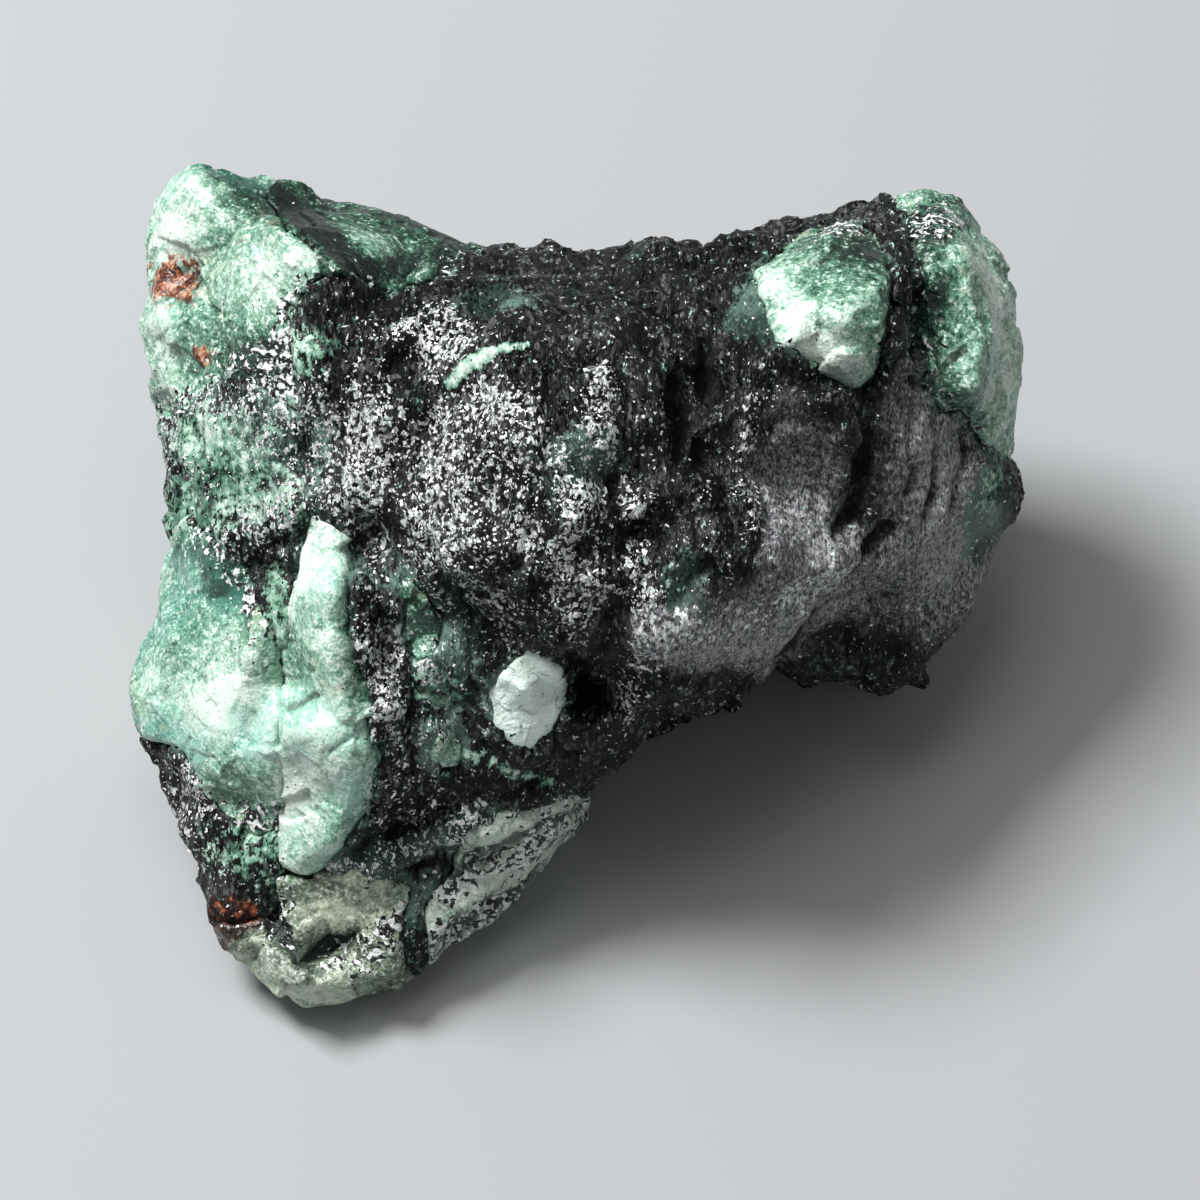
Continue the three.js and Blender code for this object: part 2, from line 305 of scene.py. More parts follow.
def creases(points: np.ndarray, wavelength: float, salt: int) -> np.ndarray:
    """Thin winding lines, which run where noise crosses zero.

    Args:
        points: Rows of x, y and z.
        wavelength: About how far apart the lines run.
        salt: Which noise to take.

    Returns:
        1 on a line, easing to 0 beside it, for each point.
    """
    return 1 - ramp(np.abs(fractal(points, wavelength, salt, 2)), 0.0, 0.1)


def leaves(points: np.ndarray, pitch: float, depth: float, wander: float, salt: int) -> np.ndarray:
    """Split leaves seen edge on: a saw tooth across the foliation, bent by noise and in places wearing
    away.

    Args:
        points: Rows of x, y and z.
        pitch: The thickness of a leaf.
        depth: The height of a tooth.
        wander: How far noise bends the leaves.
        salt: Which noise to take.

    Returns:
        One height from 0 to depth for each point.
    """
    across = (points @ LEAF_NORMAL + wander * noise(points, 6 * wander, salt)) / pitch
    tooth = across - np.floor(across)
    wear_and_sheen = 0.5 + 0.5 * noise(points, 3 * pitch + 1, salt + 1)
    rise = np.where(tooth < LEAF_CREST, tooth / LEAF_CREST, (1 - tooth) / (1 - LEAF_CREST))
    return depth * wear_and_sheen * rise


def unit(rows: np.ndarray) -> np.ndarray:
    """Rows scaled to a length of 1."""
    return rows / (np.linalg.norm(rows, axis=1, keepdims=True) + TINY)


@dataclass(frozen=True)
class Mark:
    """A soft-edged spot on whatever faces the view, in tenths of a millimetre."""

    across: float
    up: float
    wide: float
    tall: float

    def weight(self, view: np.ndarray) -> np.ndarray:
        """How much of the mark each point has: 1 at its middle, falling off as a bell.

        Args:
            view: Rows of across, up and towards, in tenths of a millimetre.

        Returns:
            One number from 0 to 1 for each row.
        """
        aside = (view[:, 0] - self.across) / self.wide
        above = (view[:, 1] - self.up) / self.tall
        return np.exp(-(aside**2) - above**2)


@dataclass(frozen=True)
class Line:
    """A bent line in tenths of a millimetre, with a height in millimetres if it is a ridge or a groove."""

    points: tuple[tuple[float, float], ...]
    width: float
    height: float = 0.0

    def weight(self, view: np.ndarray) -> np.ndarray:
        """How near each point is to the line: 1 on it, falling off as a bell over its width.

        Args:
            view: Rows of across, up and towards, in tenths of a millimetre.

        Returns:
            One number from 0 to 1 for each row.
        """
        nearest = np.full(len(view), np.inf)
        corners = np.array(self.points, dtype=float)
        for start, end in zip(corners[:-1], corners[1:]):
            run = end - start
            share = np.clip((view[:, :2] - start) @ run / (run @ run), 0, 1)
            gap = view[:, :2] - start - share[:, None] * run
            nearest = np.minimum(nearest, (gap**2).sum(axis=1))
        return np.exp(-nearest / self.width**2)


def gathered(marks: Iterable[Mark | Line], view: np.ndarray) -> np.ndarray:
    """The weights of several marks added up.

    Args:
        marks: The marks.
        view: Rows of across, up and towards, in tenths of a millimetre.

    Returns:
        One number for each row, 0 where there are no marks.
    """
    return sum((mark.weight(view) for mark in marks), np.zeros(len(view)))


def carved(lines: Iterable[Line], view: np.ndarray) -> np.ndarray:
    """The weights of several lines, each times its height, added up.

    Args:
        lines: The ridges and grooves.
        view: Rows of across, up and towards, in tenths of a millimetre.

    Returns:
        One height for each row.
    """
    return sum((line.height * line.weight(view) for line in lines), np.zeros(len(view)))


@dataclass
class Nearness:
    """How near a place is to a cloud of points, kept on a grid of cubic cells.

    Each cell has its best neighbour's nearness times decay, as far out as reach cells.
    """

    cell: float = 0.35
    decay: float = 0.72
    reach: int = 5
    low: np.ndarray = field(default_factory=lambda: np.zeros(3))
    grid: np.ndarray = field(default_factory=lambda: np.zeros((1, 1, 1)))

    def fill(self, points: np.ndarray) -> "Nearness":
        """Marks the cells that hold a point, and fades the mark outwards cell by cell.

        Args:
            points: Rows of x, y and z.

        Returns:
            This grid.
        """
        margin = self.cell * (self.reach + 2)
        self.low = points.min(axis=0) - margin
        shape = np.ceil((points.max(axis=0) + margin - self.low) / self.cell).astype(int)
        self.grid = np.zeros(shape)
        self.grid[tuple(((points - self.low) / self.cell).astype(int).T)] = 1
        for _ in range(self.reach):
            for axis, way in itertools.product(range(3), (-1, 1)):
                self.grid = np.maximum(self.grid, self.decay * np.roll(self.grid, way, axis=axis))
        return self

    def at(self, points: np.ndarray) -> np.ndarray:
        """The mark at each point, from 0 far off to 1 beside the cloud.

        Args:
            points: Rows of x, y and z.

        Returns:
            One number from 0 to 1 for each point.
        """
        index = ((points - self.low) / self.cell).astype(int)
        index = np.clip(index, 0, np.array(self.grid.shape) - 1)
        return self.grid[tuple(index.T)]


@dataclass
class Surface:
    """A closed surface of four-sided faces, in millimetres."""

    points: np.ndarray
    faces: np.ndarray
    spacing: float

    @classmethod
    def from_node(cls, node: bpy.types.Object, budget: int, finest: float) -> "Surface":
        """Lays an even net of faces over a copy of a solid.

        The solid is merged, then its surface is rebuilt on a cubic grid, spaced to keep the net in budget.

        Args:
            node: The solid, whose own mesh isn't changed.
            budget: About how many faces the net may have.
            finest: The smallest spacing.

        Returns:
            The net.
        """
        mesh = node.data.copy()
        mesh.transform(Matrix.Scale(1 / MM, 4))
        work = bmesh.new()
        work.from_mesh(mesh)
        bmesh.ops.remove_doubles(work, verts=work.verts, dist=WELD)
        area = sum(face.calc_area() for face in work.faces)
        work.to_mesh(mesh)
        work.free()
        spacing = max(finest, math.sqrt(QUADS_PER_SQUARE * area / budget))
        shape = bpy.data.objects.new("work", mesh)
        bpy.context.scene.collection.objects.link(shape)
        voxels = shape.modifiers.new("voxels", "REMESH")
        voxels.mode = "VOXEL"
        voxels.voxel_size = spacing
        net = shape.evaluated_get(bpy.context.evaluated_depsgraph_get()).to_mesh()
        points = np.empty(3 * len(net.vertices))
        net.vertices.foreach_get("co", points)
        corners = np.empty(len(net.loops), dtype=np.int64)
        net.loops.foreach_get("vertex_index", corners)
        bpy.data.objects.remove(shape)
        bpy.data.meshes.remove(mesh)
        return cls(points.reshape(-1, 3), corners.reshape(-1, 4), spacing)

    @property
    def view(self) -> np.ndarray:
        """Each point as across, up and towards, in tenths of a millimetre."""
        return to_view(self.points - [0, 0, MIDDLE_HEIGHT]) / MARK

    @cached_property
    def marked(self) -> np.ndarray:
        """The same rows moved about by noise, so that what is marked on the surface has ragged edges.

        They are worked out once, before the surface is broken.
        """
        salts = (Salt.DRIFT_ACROSS, Salt.DRIFT_UP, Salt.DRIFT_TOWARDS)
        drift = np.stack([fractal(self.points, RAGGED_WAVE, salt, 4) for salt in salts], axis=1)
        return self.view + RAGGED * drift

    def averaged(self, values: np.ndarray, passes: int) -> np.ndarray:
        """Replaces each value by the mean of its neighbours along the edges, again and again.

        Args:
            values: One value, or one row, for each point.
            passes: How many times.

        Returns:
            The averaged values.
        """
        here = self.faces.ravel()
        there = np.roll(self.faces, -1, axis=1).ravel()
        degree = np.bincount(here, minlength=len(self.points))
        columns = values.reshape(len(values), -1).T
        for _ in range(passes):
            columns = [np.bincount(here, column[there], len(self.points)) / degree for column in columns]
        return np.stack(columns, axis=1).reshape(values.shape)

    def soften(self, radius: float) -> None:
        """Rounds the surface off over about a radius.

        Args:
            radius: How wide the rounding is.
        """
        self.points = self.averaged(self.points, math.ceil((radius / self.spacing) ** 2))

    def crossed(self) -> np.ndarray:
        """Each face's crossed diagonals: a direction out of the face, twice as long as its area."""
        corners = self.points[self.faces]
        return np.cross(corners[:, 2] - corners[:, 0], corners[:, 3] - corners[:, 1])

    def normals(self) -> np.ndarray:
        """The direction in which each point faces, from the crossed diagonals of its faces."""
        here = self.faces.ravel()
        spread = np.repeat(self.crossed(), 4, axis=0)
        return unit(np.stack([np.bincount(here, axis, len(self.points)) for axis in spread.T], axis=1))

    def raised(self, heights: np.ndarray) -> None:
        """Moves each point the way its surroundings face, and no lower than where the stone rests.

        Args:
            heights: How far each point moves.
        """
        ways = unit(self.averaged(self.normals(), 5))
        self.points = self.points + ways * heights[:, None]
        self.points[:, 2] = np.maximum(self.points[:, 2], 0)

    def hollows(self, radius: float) -> np.ndarray:
        """How far each point lies below the mean of its surroundings, as a share of the radius.

        Args:
            radius: How wide the surroundings are.

        Returns:
            One number for each point, positive in a hollow and negative on a ridge.
        """
        passes = math.ceil((radius / self.spacing) ** 2)
        gap = self.averaged(self.points, passes) - self.points
        return (gap * self.normals()).sum(axis=1) / radius

    def facing(self) -> np.ndarray:
        """How much each point faces the view, from 0 for the far side to 1."""
        return ramp(to_view(self.normals())[:, 2], FACING_FROM, FACING_TO)


def mesh_object(
    name: str,
    points: np.ndarray,
    faces: np.ndarray,
    material: bpy.types.Material,
    values: dict[str, np.ndarray],
    smooth: bool = True,
) -> bpy.types.Object:
    """Makes an object from arrays of points and of faces that all have as many corners.

    Args:
        name: The object's name.
        points: Rows of x, y and z in millimetres.
        faces: Rows of point numbers.
        material: The object's finish.
        values: One number for each point, under the names that the finish reads.
        smooth: Whether the faces are shaded as one smooth surface.

    Returns:
        The object, linked to the scene.
    """
    count, corners = faces.shape
    mesh = bpy.data.meshes.new(name)
    mesh.vertices.add(len(points))
    mesh.vertices.foreach_set("co", (points * MM).astype(np.float32).ravel())
    mesh.loops.add(count * corners)
    mesh.loops.foreach_set("vertex_index", faces.astype(np.int32).ravel())
    mesh.polygons.add(count)
    mesh.polygons.foreach_set("loop_start", np.arange(0, count * corners, corners, dtype=np.int32))
    mesh.polygons.foreach_set("use_smooth", np.full(count, smooth))
    for key, column in values.items():
        mesh.attributes.new(key, "FLOAT", "POINT").data.foreach_set("value", column.astype(np.float32))
    mesh.update(calc_edges=True)
    mesh.materials.append(material)
    made = bpy.data.objects.new(name, mesh)
    bpy.context.scene.collection.objects.link(made)
    return made


class Socket:
    """A shader node's output that carries a number, with arithmetic that adds Math nodes."""

    def __init__(self, paint: "Paint", output: bpy.types.NodeSocket) -> None:
        """Wraps an output.

        Args:
            paint: The node tree that the output is in.
            output: The output.
        """
        self.paint = paint
        self.output = output

    def math(self, operation: str, first: "Socket | float", second: "Socket | float") -> "Socket":
        """Adds a Math node.

        Args:
            operation: What the node does.
            first: Its first input.
            second: Its second input.

        Returns:
            Its result.
        """
        return self.paint.node("ShaderNodeMath", {"operation": operation}, {0: first, 1: second})

    def __add__(self, other: "Socket | float") -> "Socket":
        """This plus another."""
        return self.math("ADD", self, other)

    __radd__ = __add__

    def __sub__(self, other: "Socket | float") -> "Socket":
        """This less another."""
        return self.math("SUBTRACT", self, other)

    def __rsub__(self, other: "Socket | float") -> "Socket":
        """Another less this."""
        return self.math("SUBTRACT", other, self)

    def __mul__(self, other: "Socket | float") -> "Socket":
        """This times another."""
        return self.math("MULTIPLY", self, other)

    __rmul__ = __mul__

    def step(self, low: float, high: float) -> "Socket":
        """An eased step of this number: 0 below low and 1 above high."""
        settings = {"interpolation_type": "SMOOTHSTEP"}
        inputs = {"Value": self, "From Min": low, "From Max": high}
        return self.paint.node("ShaderNodeMapRange", settings, inputs)


class Paint:
    """A material's node tree. Every node but the last, which has no output, comes from one method."""

    def __init__(self, name: str) -> None:
        """Makes an empty material.

        Args:
            name: The material's name.
        """
        self.material = bpy.data.materials.new(name)
        self.material.use_nodes = True
        self.tree = self.material.node_tree
        self.tree.nodes.clear()

    def node(self, kind: str, settings: dict, inputs: dict, output: int | str = 0) -> Socket:
        """Adds a node.

        Args:
            kind: The node's type.
            settings: Its settings, with a ramp's stops under "stops".
            inputs: A number, a colour or a socket for each named or numbered input.
            output: Which output to give back.

        Returns:
            That output.
        """
        made = self.tree.nodes.new(kind)
        for key, value in settings.items():
            if key == "stops":
                self.set_stops(made.color_ramp, value)
            else:
                setattr(made, key, value)
        for key, value in inputs.items():
            if isinstance(value, Socket):
                self.tree.links.new(value.output, made.inputs[key])
            else:
                made.inputs[key].default_value = value
        return Socket(self, made.outputs[output])

    @staticmethod
    def set_stops(band: bpy.types.ColorRamp, stops: tuple) -> None:
        """Sets a ramp's stops.

        Args:
            band: The ramp.
            stops: Pairs of place and colour, from low to high.
        """
        while len(band.elements) < len(stops):
            band.elements.new(1)
        for element, (place, shade) in zip(band.elements, stops):
            element.position = place
            element.color = shade

    def place(self) -> Socket:
        """Where the shaded point is in the stone's frame, in millimetres."""
        metres = self.node("ShaderNodeTexCoord", {}, {}, "Object")
        return self.vector("SCALE", {0: metres, "Scale": 1 / MM})

    def vector(self, operation: str, inputs: dict) -> Socket:
        """Adds a Vector Math node.

        Args:
            operation: What the node does.
            inputs: A colour, a place or a number for each of its inputs.

        Returns:
            Its result, which is a number for a dot product.
        """
        result = "Value" if operation == "DOT_PRODUCT" else "Vector"
        return self.node("ShaderNodeVectorMath", {"operation": operation}, inputs, result)

    def noise(self, place: Socket, wavelength: float, detail: float = 3, output: str = "Fac") -> Socket:
        """Noise about 0.5, as a number or, for the output Color, as three of them."""
        inputs = {"Vector": place, "Scale": 1 / wavelength, "Detail": detail}
        return self.node("ShaderNodeTexNoise", {}, inputs, output)

    def cells(self, place: Socket, size: float) -> tuple[Socket, Socket]:
        """Random cells, as many crystals or flakes grown side by side.

        Args:
            place: Where the pattern is read.
            size: The size of a cell.

        Returns:
            Three random numbers for each cell, and how high its randomly tilted plane stands.
        """
        settings = {"feature": "F1"}
        shade = self.node("ShaderNodeTexVoronoi", settings, {"Vector": place, "Scale": 1 / size}, "Color")
        middle = Socket(self, shade.output.node.outputs["Position"])
        lean = self.vector("SUBTRACT", {0: shade, 1: HALF})
        away = self.vector("SUBTRACT", {0: place, 1: middle})
        return shade, self.vector("DOT_PRODUCT", {0: away, 1: lean})

    def channel(self, shade: Socket, number: int) -> Socket:
        """One of the three numbers of a colour or a place."""
        return self.node("ShaderNodeSeparateXYZ", {}, {0: shade}, number)

    def value(self, name: str) -> Socket:
        """The value of that name which the surface's points carry."""
        return self.node("ShaderNodeAttribute", {"attribute_name": name}, {}, "Fac")

    def mix(self, share: "Socket | float", first: "Socket | tuple", second: "Socket | tuple") -> Socket:
        """A colour mixed from two: the first at a share of 0, the second at 1."""
        inputs = {0: share, MIX_FIRST: first, MIX_SECOND: second}
        return self.node("ShaderNodeMix", {"data_type": "RGBA"}, inputs, MIX_RESULT)

    def band(self, share: Socket, stops: tuple) -> Socket:
        """The colour of a ramp at a share from 0 to 1."""
        return self.node("ShaderNodeValToRGB", {"stops": stops}, {0: share})

    def bump(self, height: Socket) -> Socket:
        """A normal tipped by a height in millimetres."""
        return self.node("ShaderNodeBump", {}, {"Height": height, "Distance": MM, "Strength": 1.0})

    def finish(self, inputs: dict) -> bpy.types.Material:
        """Ends the material in one Principled shader.

        Args:
            inputs: A number, a colour or a socket for each of the shader's named inputs.

        Returns:
            The material.
        """
        shader = self.node("ShaderNodeBsdfPrincipled", {}, inputs)
        end = self.tree.nodes.new("ShaderNodeOutputMaterial")
        self.tree.links.new(shader.output, end.inputs["Surface"])
        return self.material


BERYL_STOPS = (
    (0.0, colour(9, 22, 17)),
    (0.2, colour(30, 60, 47)),
    (0.4, colour(72, 114, 93)),
    (0.58, colour(114, 156, 134)),
    (0.76, colour(158, 192, 173)),
    (1.0, colour(214, 229, 218)),
)
RUST_STOPS = (
    (0.28, colour(28, 17, 15)),
    (0.42, colour(88, 44, 30)),
    (0.56, colour(146, 80, 52)),
    (0.74, colour(200, 160, 132)),
)
# Greys for the schist's satin splits, a painted sheen
SATIN_STOPS = (
    (0.3, colour(44, 44, 47)),
    (0.5, colour(106, 107, 110)),
    (0.72, colour(166, 167, 168)),
)


@dataclass(frozen=True)
class BerylFinish:
    """Milky, half glossy green beryl with cloudy zones, fine grains, cracks and specks of mica.

    The tone is where the crystal stands on the beryl's ramp, and cloud is how far its zones stray from it.
    """

    name: str
    tone: float = 0.5
    cloud: float = 0.5
    tint: Colour = colour(124, 184, 168)
    deep_tint: Colour = colour(64, 124, 110)
    tint_share: float = 0.35
    roughness: float = 0.34
    stain_tone: float = 0.0
    warmth: float = 0.4
    shine: float = 0.5
    ior: float = 1.58
    sugar: Colour = colour(222, 236, 226)
    warm_cast: Colour = colour(180, 182, 150)
    crack: Colour = colour(44, 72, 60)
    # Painted shade, for the hollows and the cracks
    hollow_shade: Colour = colour(22, 38, 32)
    dark_speck: Colour = colour(10, 14, 14)
    # Painted glints, for the bright mica specks
    painted_glint_speck: Colour = colour(228, 232, 230)

    def material(self) -> bpy.types.Material:
        """Makes the material, which reads the values that a crystal's points carry."""
        paint = Paint(self.name)
        place = paint.place()
        names = ("pale", "rust", "mica", "hollow", "clouds", "zone", "warm")
        pale, rust, mica, hollow, clouds, zone, warm = (paint.value(name) for name in names)

        # Noise from wisps of half a millimetre down to grains
        small = paint.noise(place, 0.6, 3, "Color")
        wisps, ragged, cover = (paint.channel(small, number) - 0.5 for number in range(3))
        pepper = paint.noise(place, 0.36, 1, "Color")
        dots = paint.noise(place, 0.36, 2) - 0.5
        fine = paint.noise(place, 0.15, 2) - 0.5
        grain, lean = paint.cells(place, 0.24)

        # The body colour, then its tinted zones, sugary grains, warm cast and fine cracks
        tone = clouds * self.cloud + wisps * (self.cloud * 1.3) + fine * 0.7 + dots * 0.5
        # Grains vary the tone at random, and ridges are painted lighter, a painted highlight
        tone = tone + (paint.channel(grain, 0) - 0.5) * 0.22 + (0 - hollow).step(0.02, 0.25) * 0.14
        tone = tone + pale + self.tone
        base = paint.band(tone, BERYL_STOPS)
        tinted = paint.mix(tone.step(0.15, 0.9), self.deep_tint, self.tint)
        base = paint.mix(zone * self.tint_share, base, tinted)
        sugar = (dots * 1.5 + fine * 0.9 + wisps * 0.4).step(0.1, 0.26) * tone.step(0.2, 0.6)
        base = paint.mix(sugar * 0.5, base, self.sugar)
        base = paint.mix(warm * wisps.step(-0.04, 0.18) * self.warmth, base, self.warm_cast)
        winding = paint.noise(place, 2.2, 1)
        crack = winding.step(0.485, 0.497) * (1 - winding.step(0.503, 0.515)) * cover.step(-0.02, 0.1)
        base = paint.mix(crack * 0.5, base, self.crack)

        # What lies on it: rust and specks of mica, dark and bright, with painted shade in the hollows and
        # cracks; the bright specks are painted glints
        stain = paint.band(wisps * 1.2 + fine * 0.6 + (0.5 + self.stain_tone), RUST_STOPS)
        base = paint.mix((rust + ragged * 0.9 + dots * 1.1).step(0.3, 0.62), base, stain)
        hollow_shade = (hollow + ragged * 0.3).step(0.08, 0.4)
        base = paint.mix(hollow_shade * 0.75, base, self.hollow_shade)
        speck = (mica * 0.5 + dots * 1.7 + cover * mica * 1.2).step(0.36, 0.44)
        # Specks: the dark ones are the mica's own colour, the bright ones are painted glints
        bright = (paint.channel(pepper, 1) + fine * 0.3).step(0.49, 0.55)
        base = paint.mix(speck, base, paint.mix(bright, self.dark_speck, self.painted_glint_speck))

        height = lean * 0.12 + dots * (mica * 0.25 + 0.03) + fine * 0.05
        return paint.finish(
            {
                "Base Color": base,
                "Roughness": wisps * 0.5 + hollow_shade * 0.25 + self.roughness,
                "Normal": paint.bump(height),
                "IOR": self.ior,
                "Specular IOR Level": self.shine,
            }
        )


@dataclass(frozen=True)
class SchistFinish:
    """Near black mica schist: painted glints, satin splits with a painted sheen, green where it grades into
    beryl, and painted shade in the hollows.

    The patterns are turned about Y, so that they are drawn out along the leaves.
    """

    name: str = "mica schist"
    leaf_turn: float = math.radians(15.4)
    ior: float = 1.5
    shine: float = 0.2
    dark_rock: Colour = colour(5, 7, 8)
    pale_rock: Colour = colour(26, 26, 25)
    streaked_rock: Colour = colour(50, 50, 54)
    dull_brown: Colour = colour(44, 42, 40)
    dull_grey: Colour = colour(104, 107, 110)
    # Painted glints, from grey to white
    glint_grey: Colour = colour(120, 126, 130)
    glint_white: Colour = colour(250, 252, 252)
    deep_green: Colour = colour(38, 60, 52)
    pale_green: Colour = colour(106, 134, 123)
    # Painted shade, for the hollows
    gloom: Colour = colour(8, 9, 10)

    def material(self) -> bpy.types.Material:
        """Makes the material, which reads the values that the schist's points carry."""
        paint = Paint(self.name)
        place = paint.place()
        names = ("sparkle", "satin", "green", "beryl", "rust", "hollow", "patch")
        sparkle, satin, green, beryl, rust, hollow, patch = (paint.value(name) for name in names)

        # Flakes in two sizes, streaks along the leaves, and soft mottling
        turn = {"Vector": place, "Rotation": (0, self.leaf_turn, 0)}
        leaf = paint.node("ShaderNodeMapping", {}, {**turn, "Scale": (2.0, 1.0, 1.0)})
        thin = paint.node("ShaderNodeMapping", {}, {**turn, "Scale": (8.0, 0.8, 0.8)})
        flake, tilt = paint.cells(leaf, 0.36)
        fine, fine_tilt = paint.cells(leaf, 0.16)
        streak = paint.noise(thin, 1.0, 3)
        mottle = paint.noise(place, 0.45, 3) - 0.5
        worms = paint.noise(place, 0.3, 1) - 0.5
        odds = paint.channel(flake, 0) * 0.5 + paint.channel(fine, 0) * 0.5

        # Where painted glints go: in clusters, in worm-like runs, and more on ridges
        ridge = (0 - hollow).step(0.0, 0.25)
        cluster = (sparkle + mottle * 1.1).step(0.12, 0.6)
        bright = (worms * 1.6 + cluster * 0.33 + (odds - 0.5) * 0.4 + ridge * 0.06).step(0.37, 0.43)

        # The rock itself, dull flakes, and the grey of smooth satin splits, which is a painted sheen
        rock = paint.mix(patch.step(-0.1, 0.15), self.dark_rock, self.pale_rock)
        rock = paint.mix(streak.step(0.5, 0.72) * 0.35, rock, self.streaked_rock)
        dull = (paint.channel(flake, 1) + mottle * 0.8 + sparkle * 0.3 + patch * 0.6).step(0.76, 0.88)
        greys = paint.mix(paint.channel(flake, 2), self.dull_brown, self.dull_grey)
        rock = paint.mix(dull * 0.75, rock, greys)
        wear_and_sheen = streak * 0.3 + paint.channel(fine, 1) * 0.34 + worms * 0.6 + patch * 0.24
        wear_and_sheen = paint.band(wear_and_sheen + satin * 0.16 + 0.04, SATIN_STOPS)
        rock = paint.mix((satin + patch * 0.6).step(0.3, 0.65), rock, wear_and_sheen)

        # Painted glints, then what lies on it: a green veil, bared beryl and rust, then painted shade, the
        # gloom, in the hollows
        glint = paint.mix(paint.channel(fine, 2), self.glint_grey, self.glint_white)
        rock = paint.mix(bright, rock, glint)
        veil = (green + mottle * 1.4 + (odds - 0.5) * 0.4).step(0.42, 0.8) * (1 - bright)
        tinge = paint.mix(patch.step(-0.08, 0.16), self.deep_green, self.pale_green)
        rock = paint.mix(veil * 0.85, rock, tinge)
        bared = (beryl + mottle * 1.8 + (odds - 0.5) * 0.9).step(0.44, 0.64)
        shade = mottle * 1.6 + patch * 1.2 + (odds - 0.5) * 0.3 + beryl * 0.38 + 0.32
        rock = paint.mix(bared, rock, paint.band(shade, BERYL_STOPS))
        stain = paint.band(mottle * 1.8 + 0.25, RUST_STOPS)
        rock = paint.mix((rust + patch * 0.9 + mottle * 0.7).step(0.35, 0.6), rock, stain)
        # Painted shade, the gloom, in the hollows and the marked grooves
        gloom = (hollow + mottle * 0.25).step(0.05, 0.32)
        rock = paint.mix(gloom * 0.85, rock, self.gloom)

        plain = (1 - satin.step(0.0, 1.0) * 0.4) * (1 - beryl.step(0.0, 1.0) * 0.6)
        height = (tilt * 0.7 + fine_tilt * 0.6) * plain + streak * 0.05
        return paint.finish(
            {
                "Base Color": rock,
                "Roughness": paint.channel(flake, 2) * 0.2 + 0.34 + satin * 0.1 + gloom * 0.3,
                "Metallic": bright * 0.2 * (1 - gloom),
                "Normal": paint.bump(height),
                "IOR": self.ior,
                "Specular IOR Level": self.shine,
            }
        )


@dataclass(frozen=True)
class MicaFinish:
    """One kind of mica flake, from dull to bright by the value shine that each flake carries."""

    name: str
    dull: Colour
    bright: Colour
    metal: float
    roughness: float
    ior: float
    polish: float = 0.15

    def material(self) -> bpy.types.Material:
        """Makes the material, which reads the value shine."""
        paint = Paint(self.name)
        shine = paint.value("shine")
        return paint.finish(
            {
                "Base Color": paint.mix(shine, self.dull, self.bright),
                "Roughness": shine * -self.polish + self.roughness,
                "Metallic": self.metal,
                "IOR": self.ior,
            }
        )


